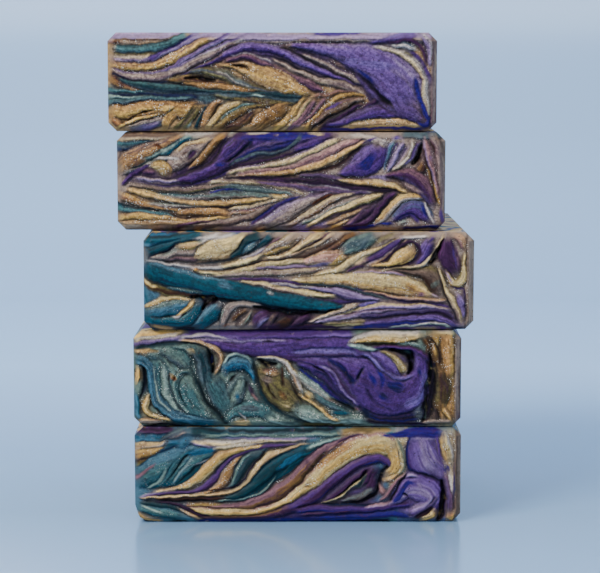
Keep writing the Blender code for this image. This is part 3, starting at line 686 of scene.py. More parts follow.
# %% Folds of the middle bar: the deepest
MIDDLE_FOLDS = [
    stain("teal steel teal", (-1, 20, 4), (7, 6, 7), (18, 4, 5)),
    stain("umber plum umber", (27, 2, 3), (38, 2, 4), (47, 2, 3)),
    stain("lilac dusk violet", (56, 4, 3), (70, 4, 4), (84, 3, 3)),
    Fold("ink blue", (-1, 25.4, 0.9), (5, 25.2, 0.7), (10, 25, 0.5)),
    Fold("pine teal steel", (-1, 23, 1.4), (5, 23.4, 1.3), (10, 24.2, 1.1), (16, 25, 0.8)),
    Fold("pale", (13, 23.7, 0.4), (17, 24.3, 0.5), (20, 25, 0.5)),
    Fold("blue", (18.6, 24, 0.25), (22, 24.8, 0.5), (26, 25.4, 0.4)),
    Fold("teal pine", (0.6, 19.8, 1.1), (4, 21.4, 1.2), (8, 22.8, 1), (13, 24.2, 0.6)),
    Fold("navy", (1.6, 18.9, 0.3), (6, 20.6, 0.5), (9.4, 22.4, 0.5), rise=0.1),
    Fold("stone", (1.8, 18.8, 0.25), (4.6, 19.8, 0.4), (7.4, 20.6, 0.3)),
    Fold("sage stone taupe", (2.6, 18.8, 0.3), (7, 19.7, 1.2), (10, 20.8, 1.7), (14, 21.8, 1.8),
        (18, 23.2, 0.9)),
    Fold("cream tan olive", (9, 21.8, 0.7), (12, 22.2, 1.1), (15, 22.8, 0.6), rise=0.7),
    stain("rust", (10.8, 22.3, 0.2), (11.4, 21.4, 0.3)),
    Fold("taupe mauve", (6, 18.7, 0.3), (11, 19, 0.8), (15, 19.1, 0.6)),
    Fold("cream cream tan", (13.6, 19.4, 0.6), (16, 20.5, 1.9), (19, 21.3, 2.7), (22.4, 21.9, 2.5),
        (25, 23.4, 1.6), (26.6, 25.2, 0.7), rise=1),
    stain("pale", (15, 23.6, 0.3), (19, 24.2, 0.4), (24, 24.9, 0.5)),
    # Painted shadow: this dark groove is the shade under the cream and tan leaves above it.
    groove("umber pine", (5, 18.1, 0.25), (10, 18, 0.3), (15, 17.7, 0.35), (20, 18, 0.4), (24, 18.9, 0.35)),
    Fold("pine pine", (22, 18.8, 0.4), (24.4, 20, 0.9), (26.2, 22, 1.3), (28, 23.8, 1.2), (31, 25.4, 0.8)),
    Fold("steel sage", (26.2, 20.4, 0.5), (28, 21.8, 0.8), (29.8, 23.4, 0.5), rise=0.8),
    Fold("teal pine", (29.2, 21.2, 0.5), (31.6, 23.2, 0.9), (33.6, 25.2, 0.8)),
    groove("pine", (25.2, 19.4, 0.2), (29, 21.2, 0.3), (32, 23.4, 0.3)),
    Fold("mauve plum", (30, 20.5, 0.3), (33, 22.3, 0.6), (36, 24.6, 0.8)),
    Fold("pale lilac", (25, 18.9, 0.3), (29, 20, 0.5), (32, 21.6, 0.4)),
    Fold("cream stone tan", (30.6, 19.7, 0.5), (34, 21.6, 1.3), (37, 23.2, 1.3), (39.4, 25, 0.9)),
    Fold("gold olive", (31, 19.5, 0.4), (35, 21.2, 0.6), (38.6, 22, 0.5)),
    groove("umber", (32, 19.6, 0.15), (37, 20.6, 0.25), (39, 21.6, 0.3), (41.2, 24.4, 0.35)),
    Fold("tan cream rose", (32, 18.9, 0.4), (37, 19.7, 0.7), (41, 21.6, 1.1), (44.6, 24, 1.3),
        (47, 25.6, 0.8)),
    Fold("mauve cream mauve", (41, 21, 0.5), (45.4, 23, 0.8), (49.4, 25.4, 0.7)),
    groove("umber", (38, 20.1, 0.2), (43, 21.8, 0.25), (47.4, 24.6, 0.3)),
    Fold("taupe umber ink", (28, 17.5, 0.25), (32, 18.1, 0.4), (37, 18.6, 0.4), (41, 19.4, 0.5),
        (45, 20.6, 0.5), (49, 22.6, 0.55), (53.4, 25.2, 0.6), rise=0.1),
    Fold("bronze umber", (44, 19.5, 0.3), (48, 21.1, 0.5), (51.6, 23.2, 0.7), (56, 25.4, 0.8)),
    Fold("pale pale pale", (0.8, 18.4, 0.3), (5, 17.6, 0.35), (10, 16.9, 0.4), (14, 16.5, 0.4),
        (20, 16.4, 0.4), (25, 17.6, 0.6), (30, 19.2, 0.4)),
    Fold("rust gold", (12.4, 16.3, 0.3), (13.8, 15.8, 0.6), (15, 15.4, 0.3), rise=0.9),
    Fold("cream cream", (20, 16.6, 0.4), (24, 17.4, 0.7), (28, 18.6, 0.8), (31, 19.7, 0.4), rise=0.8),
    groove("umber olive", (15, 15.8, 0.2), (21, 15.7, 0.25), (27, 16.9, 0.3), (31, 17.7, 0.25)),
    Fold("taupe cream cream", (14, 15.4, 0.3), (20, 15, 0.6), (26, 15.8, 0.7), (32, 17.2, 0.7),
        (38, 17.9, 0.8), (44, 18.5, 0.7)),
    Fold("lilac mauve", (29, 16.2, 0.3), (35, 16.5, 0.4), (41, 16.6, 0.5), (47, 17.2, 0.4)),
    Fold("cream stone olive", (18, 14.2, 0.3), (26, 14.7, 0.7), (33, 15, 0.8), (40, 15.3, 0.8),
        (46, 16, 0.6)),
    Fold("tan rose cream", (41, 17.8, 0.7), (45, 18.6, 1.4), (49, 19.2, 1.9), (51.6, 18.6, 1.7),
        (51, 16.6, 1), rise=1),
    stain("lilac", (43.4, 16.6, 0.3), (46.4, 17.2, 0.6), (48.6, 18, 0.3)),
    stain("gold olive", (48.4, 16.4, 0.5), (51, 18, 1.3), (52.6, 20, 0.9)),
    Fold("sage slate sage", (51.4, 20.6, 0.8), (54, 22, 1.6), (57.6, 23.4, 1.7), (61, 25, 1)),
    stain("slate", (56, 20.8, 0.5), (57.4, 22.6, 0.8), (58.6, 24.6, 0.7)),
]

# %% Folds of the middle bar: laid over those
MIDDLE_FOLDS += [
    Fold("olive stone", (60, 22.4, 0.9), (63, 23.6, 1.1), (66, 25.2, 0.9)),
    Fold("ochre cream stone", (44, 14.5, 0.4), (50, 15.6, 0.8), (53.6, 17.8, 1), (57, 19.6, 0.9),
        (61, 21.2, 0.8), (65, 23, 0.8), (69, 25, 0.6)),
    Fold("stone pale", (66, 24.4, 0.6), (70, 24.2, 0.5), (74, 24.6, 0.5)),
    Fold("cream rose", (54.6, 17.2, 0.4), (57, 18, 0.9), (60, 19.4, 0.6), rise=0.7),
    Fold("plum", (52.4, 15.3, 0.3), (54.8, 16.5, 0.5), (58, 17, 0.3)),
    Fold("violet plum", (57.6, 18, 0.5), (60.4, 19, 1.1), (63, 20.9, 1.1), (65.4, 22.8, 0.8),
        (67.4, 24.2, 0.4)),
    Fold("lilac tan rose", (58, 16.9, 0.4), (62, 18.2, 0.7), (65, 20.6, 0.8), (67, 22.4, 0.6),
        (69, 23.6, 0.4)),
    Fold("lavender violet", (70, 17.4, 0.9), (72.4, 19.2, 1.5), (73.6, 21.6, 1.6), (75, 23.8, 0.8)),
    Fold("plum ink", (61, 17.3, 0.25), (64, 19.3, 0.4), (66.6, 22, 0.5), (69, 23.1, 0.5), (71, 22.4, 0.5),
        (71.7, 20.4, 0.55), (70.8, 18.3, 0.5), (68.4, 17.2, 0.4), (64, 16.6, 0.3), (58, 16.1, 0.25),
        rise=0.2),
    Fold("cream gold gold", (59, 16.6, 0.2), (63.4, 17.4, 0.6), (66.6, 18.7, 1.6), (68.8, 20.2, 1.9),
        (69.8, 21.8, 1), rise=1),
    stain("tan", (67.6, 18.4, 0.3), (69.4, 19.6, 0.4)),
    Fold("violet", (74, 22.8, 0.3), (76, 24.6, 0.5), rise=0.3),
    Fold("stone cream pale", (61, 15.7, 0.25), (68, 16.3, 0.4), (72.6, 17.2, 0.5), (75.3, 19.6, 0.55),
        (76.8, 22, 0.6), (78.4, 25, 0.7), rise=0.9),
    Fold("ink", (75, 17.6, 0.7), (76.2, 19.4, 1.1), (77.2, 21.6, 0.8), (78, 23.8, 0.4), sink=2.1),
    Fold("plum plum", (78.8, 24.6, 0.8), (79, 21.6, 1.7), (79.4, 18.8, 2.3), (80.8, 16.4, 1.8),
        (81.6, 14.4, 0.9), rise=1),
    stain("mauve violet", (80.8, 22, 0.7), (81.6, 19, 0.8), (81.8, 16, 0.7)),
    Fold("tan mauve", (80.4, 25.2, 0.8), (82.6, 23.6, 1), (83.6, 20.6, 0.6)),
    Fold("gold cream olive", (83.6, 20.4, 0.4), (83.4, 16.4, 0.7), (82.8, 13.2, 1.2), (81, 12.4, 1.2),
        (79.6, 13.8, 0.6), (78.6, 15.6, 0.4), rise=0.8),
    stain("lilac", (77.6, 16.4, 0.2), (79, 14.6, 0.3), (80.4, 12.2, 0.3)),
    Fold("olive taupe umber", (64.6, 15.7, 0.4), (69, 15.5, 0.8), (73, 15.2, 1.6), (75.4, 14, 2.4),
        (76.8, 11.6, 2), (77.6, 9.8, 0.9)),
    stain("sage", (75.4, 11.8, 0.7), (76.6, 12.6, 0.6)),
    groove("ink", (64, 15.8, 0.25), (69, 15.8, 0.35), (73, 16.3, 0.3)),
    Fold("rose lilac cream", (54, 15.2, 0.3), (62, 15.2, 0.4), (67, 14.4, 0.4), (71, 12.4, 0.4),
        (74.4, 9.8, 0.4), (77, 8.6, 0.3), rise=0.6),
    Fold("cream cream gold tan", (38, 12.9, 0.5), (43, 13.1, 0.9), (48, 13.2, 1.4), (53, 13.2, 1.8),
        (58, 12.9, 2.1), (64, 12.2, 2.3), (69, 11.2, 2.3), (72.6, 10, 1.6), (75, 8.8, 0.5), rise=1),
    stain("gold bronze", (67.6, 12, 0.8), (70.4, 11, 1), (72, 10.2, 0.5)),
    stain("mauve", (71, 9.4, 0.7), (74, 9.2, 0.7)),
    Fold("violet plum", (21, 13.5, 0.2), (27, 13.3, 0.4), (33, 13.1, 0.55), (38, 12.6, 0.5), (43, 11.9, 0.3),
        rise=0.2),
    Fold("pale lilac", (31, 12.3, 0.3), (37, 11.8, 0.6), (42, 11, 0.5), (48, 10.6, 0.4)),
    Fold("cream cream rose", (25, 12.7, 0.3), (31, 12, 0.6), (36, 10.9, 0.7), (41, 9.9, 0.8), (46, 9.2, 0.7),
        (50.4, 8.8, 0.4)),
    groove("navy", (33, 11.7, 0.15), (40, 11.1, 0.2), (46, 10.3, 0.2)),
    Fold("olive slate pine", (41, 12.1, 0.3), (48, 11.8, 0.4), (54, 11.2, 0.5), (58, 9.9, 0.6),
        (61, 8.9, 0.5), (64.6, 8, 0.3)),
    Fold("lilac lilac dusk", (43, 10.9, 0.4), (48, 10.5, 0.7), (51.4, 9.8, 1.1), (54.4, 9.1, 1.2),
        (58, 8.4, 0.6), (62, 7.7, 0.3)),
    Fold("cream", (44, 9.3, 0.3), (47, 9.1, 0.5), (50, 9.2, 0.3), rise=0.7),
    Fold("plum violet", (55, 11.2, 0.2), (60, 9.9, 0.4), (64, 8.8, 0.4), (68, 7.6, 0.4), (72, 7, 0.35),
        (77, 6.9, 0.35), (80.4, 6, 0.25), rise=0.1),
    Fold("tan mauve", (57, 10.4, 0.2), (62, 9.5, 0.35), (67, 8.4, 0.45), (73, 8, 0.5), (79, 7.8, 0.4),
        rise=0.8),
    Fold("teal teal teal pine", (-0.4, 16.2, 1.2), (3, 15.3, 2.3), (8, 13.7, 2.4), (13, 12.3, 2.4),
        (18, 11, 2.6), (24, 10.1, 2.6), (30, 8.9, 2.3), (36, 7.7, 2.1), (42, 6.9, 2), (48, 6.2, 1.5),
        (53, 6.6, 0.5), rise=1.1),
    stain("steel", (2, 17.6, 0.3), (6, 16.6, 0.5), (11, 15.2, 0.5), (16, 13.8, 0.4), (22, 12.9, 0.25)),
    stain("steel", (19.6, 12, 0.4), (21.4, 11.7, 0.8), (23, 11.2, 0.4)),
    stain("navy pine", (4, 13.4, 0.2), (11, 11.6, 0.25), (18, 9.9, 0.25), (27, 8.6, 0.2)),
    Fold("sage pale", (32.4, 10.1, 0.35), (33.6, 9.8, 0.5), rise=0.9),
    groove("ink pine", (16, 8.9, 0.5), (22, 7.9, 0.5), (28, 6.9, 0.35), (34, 5.9, 0.35), (40, 4.9, 0.4),
        (46, 4.4, 0.4), (51, 5.6, 0.3)),
    Fold("violet ink", (42, 8.5, 0.15), (48, 7.9, 0.25), (52, 7.5, 0.5), (56, 7.4, 0.3), (61, 7.1, 0.2),
        (66, 7, 0.25), rise=0.1),
    Fold("periwinkle", (55.6, 6.4, 0.4), (58.4, 6.9, 0.5), (61.6, 7, 0.25)),
]

# %% Folds of the middle bar: laid last
MIDDLE_FOLDS += [
    Fold("olive umber olive", (-0.6, 13, 0.5), (2.6, 11.4, 0.9), (6, 10.1, 1), (10, 9.8, 0.9),
        (15, 9.2, 0.5), rise=0.3),
    Fold("cream gold", (-0.4, 13.2, 0.5), (1.4, 12.2, 0.5), (3.8, 11.2, 0.25)),
    Fold("sage teal", (6, 11.2, 0.3), (10, 10.5, 0.5), (15, 10, 0.4)),
    Fold("ink", (12.6, 8.8, 0.5), (15.4, 8.6, 0.9), (17.4, 7.6, 1.3), (19, 8, 0.7), rise=0, sink=1.2),
    Fold("sea teal teal", (-0.4, 3.4, 1), (3, 2.4, 1.4), (7, 2.2, 1.4), (11, 2.6, 1.5), (13.4, 4.8, 1.7),
        (14.4, 7.6, 1.2), rise=0.9),
    Fold("sage steel teal", (0.6, 4.6, 1), (3.4, 5.4, 2), (7, 6.2, 2.3), (10, 6.8, 1.7), (12.6, 7.4, 0.8),
        rise=1),
    Fold("cream gold", (0, 6.2, 0.4), (3, 7.4, 0.55), (6, 8.5, 0.5), (9.4, 8.6, 0.4), (12.4, 8.2, 0.3)),
    Fold("olive gold mint", (8, 3.8, 0.3), (10, 4.6, 0.7), (11.9, 6.2, 0.8), (13.2, 8, 0.4), rise=0.8),
    Fold("pale", (7.2, 3.6, 0.25), (8.8, 3.6, 0.4), (10.2, 4.2, 0.2), rise=0.8),
    Fold("steel teal teal", (13.4, 0.6, 1), (15.8, 2.6, 1.9), (18, 4.6, 1.9), (20, 6.8, 0.7), rise=1),
    Fold("ink", (15.2, 5.3, 0.4), (16.4, 7, 0.9), (18.4, 8.4, 1), sink=2.4),
    Fold("bronze tan", (2, 1.1, 0.4), (5, 0.7, 0.6), (8, 0.4, 0.4), rise=0.5),
    groove("ink", (8, 0.3, 0.5), (14, 0.3, 0.5)),
    Fold("slate stone stone", (20.4, 0.6, 0.8), (21, 3.2, 1), (22.2, 5.8, 1.1), (25, 7, 0.9),
        (28.4, 6.6, 0.8), (31, 5.8, 0.4), rise=0.9),
    stain("sage", (20.2, 3.6, 0.35), (20.8, 6, 0.35)),
    stain("rust", (20.8, 1, 0.4), (22.2, 1.2, 0.5)),
    Fold("umber bronze", (23, 2, 0.5), (24.6, 4.2, 0.7), (27, 5.6, 0.5)),
    Fold("ink", (24, 1.2, 0.5), (25.4, 3.6, 0.4), (27.6, 5.2, 0.3), sink=0.6),
    Fold("stone sage umber", (25.6, 1.2, 0.8), (27, 3, 0.8), (28.2, 4.8, 0.5)),
    Fold("violet plum lilac", (29, 0.8, 0.8), (30.4, 3, 1.4), (33.4, 4.4, 1.4)),
    Fold("taupe ink", (32.6, 1.2, 0.7), (33.6, 3, 0.8), (34.8, 5, 0.5)),
    Fold("ink umber ink", (34.6, 0.4, 0.9), (36.6, 2.2, 1.4), (39, 3.6, 1.2)),
    Fold("ink", (28.6, 6.1, 0.4), (32, 5.5, 0.6), (36, 4.8, 0.9), (40, 4.4, 1), (43.6, 4.6, 0.7),
        (46.4, 4.9, 0.3), rise=0, sink=0.9),
    Fold("plum ink", (39, 0.8, 0.8), (41.4, 2.4, 1.1), (43.2, 3.8, 0.6)),
    Fold("umber plum ink", (40, 0.6, 0.5), (46, 1.2, 0.6), (52, 0.7, 0.5), rise=0.2),
    Fold("cream stone stone", (42.4, 1.8, 0.2), (46.6, 3.4, 0.5), (50.6, 4.8, 0.7), (54, 6.1, 0.9),
        (56, 6.9, 0.4), rise=1),
    Fold("cream lilac taupe", (44, 1.8, 0.3), (50, 3.1, 0.9), (56, 4.5, 1.3), (62, 5.7, 1.3), (68, 6, 1),
        (74, 5.9, 0.9), (80, 5.2, 0.6)),
    groove("mauve", (52, 4.2, 0.2), (60, 5.3, 0.2), (69, 5.7, 0.25)),
    Fold("stone olive cream", (47, 1.6, 0.4), (52, 1.8, 0.8), (56.6, 2.3, 0.9), (58.6, 1.6, 0.4)),
    Fold("dusk dusk dusk", (56.4, 3.6, 0.4), (63, 4.1, 0.7), (70, 4.7, 0.8), (77, 5, 0.8), (80.4, 3.6, 0.5)),
    Fold("dusk lavender violet", (57, 1.6, 0.6), (64, 2.5, 0.9), (71, 3.3, 0.9), (76, 3.4, 0.9),
        (79.4, 2.2, 0.7), (81.4, 0.8, 0.4)),
    groove("plum ink", (59, 2.7, 0.3), (65, 3.6, 0.35), (70, 4.1, 0.35), (75, 4.6, 0.35), (78, 4.2, 0.4),
        (81, 2.4, 0.3)),
    Fold("indigo", (54, 0.5, 0.6), (62, 1.1, 0.6), (69, 1.8, 0.4), (74, 2.1, 0.3), (78, 1.4, 0.3), rise=0.3),
    Fold("pale sage", (64, 0.6, 0.3), (70, 1.2, 0.35), (75, 1.8, 0.4), (78, 1.6, 0.35), (80.4, 0.6, 0.3),
        rise=0.6),
    stain("stone bronze", (70, 0.2, 0.6), (77, 0.3, 0.6)),
    Fold("cream cream stone", (76.8, 16.2, 0.3), (77.8, 13, 0.5), (78.8, 10.4, 0.6), (80.6, 7.6, 0.9),
        (82, 4.8, 0.8), (82.8, 2, 0.6), rise=0.8),
    groove("ink", (76.3, 16.6, 0.2), (77.5, 13, 0.25), (78.5, 9.8, 0.4), (80, 6.6, 0.35), (82, 1.8, 0.35)),
    Fold("lilac lavender", (81.4, 9.6, 0.5), (82.6, 7.6, 0.9), (83.2, 5, 0.6), (83.4, 3, 0.4)),
    Fold("plum violet", (79.8, 11.7, 0.3), (81.6, 10.8, 0.4), (83.6, 10.9, 0.3), (83.8, 8, 0.3),
        (83.4, 5.4, 0.25), rise=0.1),
    Fold("stone stone", (85.4, 26, 1.1), (85.3, 14, 1.2), (85.3, -1, 1.1)),
    stain("navy ink", (80, 0.2, 0.5), (84, 0.4, 0.4)),
]
print(len(MIDDLE_FOLDS), "folds on the middle bar")
# %% [markdown]
# ## The lower bar
#
# Its left half is teal batter that was lifted and dropped, with a hooked cream ribbon, a bright
# blue crest and a deep valley. An olive and gold lens lies in the middle. On the right a large
# violet comma curls round a hollow, and a near-black gap separates it from a gold block.

# %% Folds of the lower bar: the deepest
LOWER_FOLDS = [
    stain("violet lavender violet", (24, 23, 3), (45, 21, 4), (62, 13, 9), (70, 6, 8)),
    stain("mint sage", (38, 1, 3), (50, 3, 3), (60, 1, 3)),
    stain("olive ochre bronze", (80, 26, 3), (81, 14, 4), (81, -1, 4)),
    Fold("cream gold cream", (-1, 24.6, 1.2), (3, 24.2, 1.2), (8, 25, 1), (14, 25.4, 0.6)),
    Fold("pale cream", (0, 22.7, 0.5), (6, 23.7, 0.7), (12, 24.6, 0.7)),
    Fold("lilac dusk", (-1, 21.8, 0.5), (5, 22.6, 0.7), (11, 23.5, 0.6), (17, 24.4, 0.5)),
    Fold("violet", (14, 25.4, 0.7), (20, 24.9, 0.8), (27, 24.6, 0.9), (34, 24.6, 1), (42, 24.8, 1.1),
        (50, 25, 1), (58, 25.4, 0.7)),
    Fold("lavender lavender lilac", (13, 24.2, 0.5), (20, 24, 0.6), (28, 23.4, 0.7), (36, 23.4, 0.8),
        (44, 23.6, 0.8), (52, 23.8, 0.9), (58, 24.2, 0.8)),
    Fold("pale lilac", (12, 23.4, 0.3), (17, 24.3, 0.5), (20, 24.2, 0.4), (25, 23.4, 0.3)),
    Fold("sea sage slate", (3, 19.8, 1.6), (9, 20.2, 2), (14, 20.6, 1.6), (18, 20.2, 1.5)),
    Fold("violet violet plum", (17, 23, 0.4), (22, 22, 1.2), (26, 21.2, 1.6), (31, 20.9, 2), (37, 20.7, 2.6),
        (44, 20.2, 3.2), (51, 20, 3.6), (58, 20.6, 3), (62, 21.6, 1.4), rise=0.9),
    Fold("lilac", (11, 22.9, 0.25), (18, 23.2, 0.25), (25, 22.8, 0.3), (33, 22.9, 0.3), (40, 22.9, 0.3),
        rise=0.6),
    stain("violet", (27, 23.7, 0.3), (34, 23.6, 0.4), (42, 24.1, 0.4), (50, 24.4, 0.3)),
    stain("ink", (34, 22.6, 0.4), (35.8, 22.7, 0.5), (37, 22.4, 0.3)),
    stain("ink", (38, 20.1, 0.3), (39, 20.5, 0.4)),
    stain("ink", (42.6, 23, 0.25), (44.6, 23.3, 0.35)),
    Fold("periwinkle periwinkle", (42, 19.9, 0.5), (48, 20.1, 0.8), (54, 20.3, 0.7), (59, 19.8, 0.5)),
    Fold("pine", (0, 20.9, 0.35), (6, 21.6, 0.45), (12, 22.1, 0.4), (18, 22.1, 0.3), rise=0.1),
    Fold("gold tan", (0, 20.1, 0.5), (3.6, 20, 0.6), (6.8, 20.1, 0.3)),
    Fold("sage sea sea", (5.6, 18.6, 1.6), (8, 14.6, 3.4), (10.6, 11, 4.6), (14, 7.4, 4.4), (18, 3.6, 3),
        (21, 0.6, 2), rise=0.8),
    Fold("sea sage slate", (9, 19.6, 1.6), (12.6, 18, 2.2), (14.8, 15, 1.6)),
    Fold("mint sage", (7.6, 16.6, 0.6), (8.2, 13, 0.9), (8.6, 9, 0.9), (10.4, 5.6, 0.8), (13, 2.6, 0.6),
        rise=0.8),
    Fold("sea sage", (14.6, 14.6, 0.5), (12.4, 14.4, 0.6), (10.9, 12.4, 0.6), (10.8, 9.4, 0.7),
        (12.2, 6.2, 0.7), (15, 3.4, 0.6), rise=0.8),
    groove("pine", (15, 14, 0.2), (13.2, 13.4, 0.2), (12, 11.4, 0.25), (12.3, 8.6, 0.25), (14.4, 5.2, 0.2)),
    groove("slate", (9.4, 15.6, 0.2), (9.6, 11, 0.25), (11, 7, 0.25), (14, 3, 0.2)),
    Fold("sea sea", (14.4, 10.6, 1), (15.6, 7.6, 1), (18, 4.8, 0.8)),
    stain("gold rust", (9.6, 13.8, 0.6), (10.6, 13, 0.6), (11.2, 12.8, 0.3)),
    Fold("rust", (10.6, 13.2, 0.3), (10.8, 12.6, 0.3), sink=0.4),
    Fold("cream sage", (14.2, 20.2, 0.5), (15.4, 19.9, 0.9), (16.2, 18.8, 0.5), rise=0.9),
    Fold("steel teal", (0, 18.4, 0.8), (3, 17.4, 1.2), (4.8, 14.4, 1.2), (5.4, 10, 1.2), (6.8, 6.4, 1.5),
        (10, 3.2, 1.6), (16, 1.6, 1.3), (22, 0.6, 1), rise=0.8),
    Fold("steel", (6.4, 10, 0.3), (8, 5.8, 0.4), (11.6, 3, 0.35), (15.4, 1.6, 0.25), rise=0.7),
    Fold("mint", (5.2, 16, 0.2), (6, 11, 0.25), (7.2, 6.8, 0.3), (10, 4, 0.25), rise=0.8),
    Fold("navy ink", (2.6, 15.6, 0.6), (3, 12.4, 0.8), (2.4, 9.4, 0.7), (1.6, 7.4, 0.4), rise=0, sink=0.6),
    Fold("rust gold tan", (0.9, 16, 0.5), (1, 13.6, 0.8), (0.6, 11.4, 0.5), rise=0.8),
    Fold("steel steel teal", (0, 17.2, 0.5), (2, 16.9, 0.6), (3.7, 15, 0.6), (4.4, 11.6, 0.7),
        (4.8, 8.4, 0.7), (6.4, 5.2, 0.7), (10, 2.8, 0.8), (16, 1, 0.8), rise=0.9),
    Fold("cream gold", (3.9, 8.8, 0.25), (3.4, 6.8, 0.8), (3, 5.2, 0.9), (4.4, 3.4, 0.6), (7, 2.2, 0.5),
        (10, 1.4, 0.3), rise=0.9),
    Fold("teal steel", (0.4, 9.4, 0.7), (0.8, 6, 0.8), (0.8, 3.6, 0.8), (2.4, 2.2, 0.5)),
    Fold("tan stone", (0.6, 1.6, 0.6), (4, 1.6, 0.8), (8, 1, 0.5)),
    groove("ink", (3, 0.1, 0.4), (8, 0.5, 0.5), (14, 0.1, 0.4)),
    Fold("slate pine slate", (16.4, 20.8, 1.3), (18.2, 18, 1.7), (18.8, 14, 1.8), (19.2, 10.6, 1.4)),
    Fold("slate sea slate", (20.4, 13.6, 1.6), (21.8, 10, 2.4), (23.6, 6.4, 2.2), (24.8, 4, 1.2), rise=0.9),
    Fold("ink", (19.6, 20.6, 0.5), (20.6, 18.6, 0.9), (21, 16.4, 0.8), (20.8, 14.7, 0.5), sink=1.8),
]

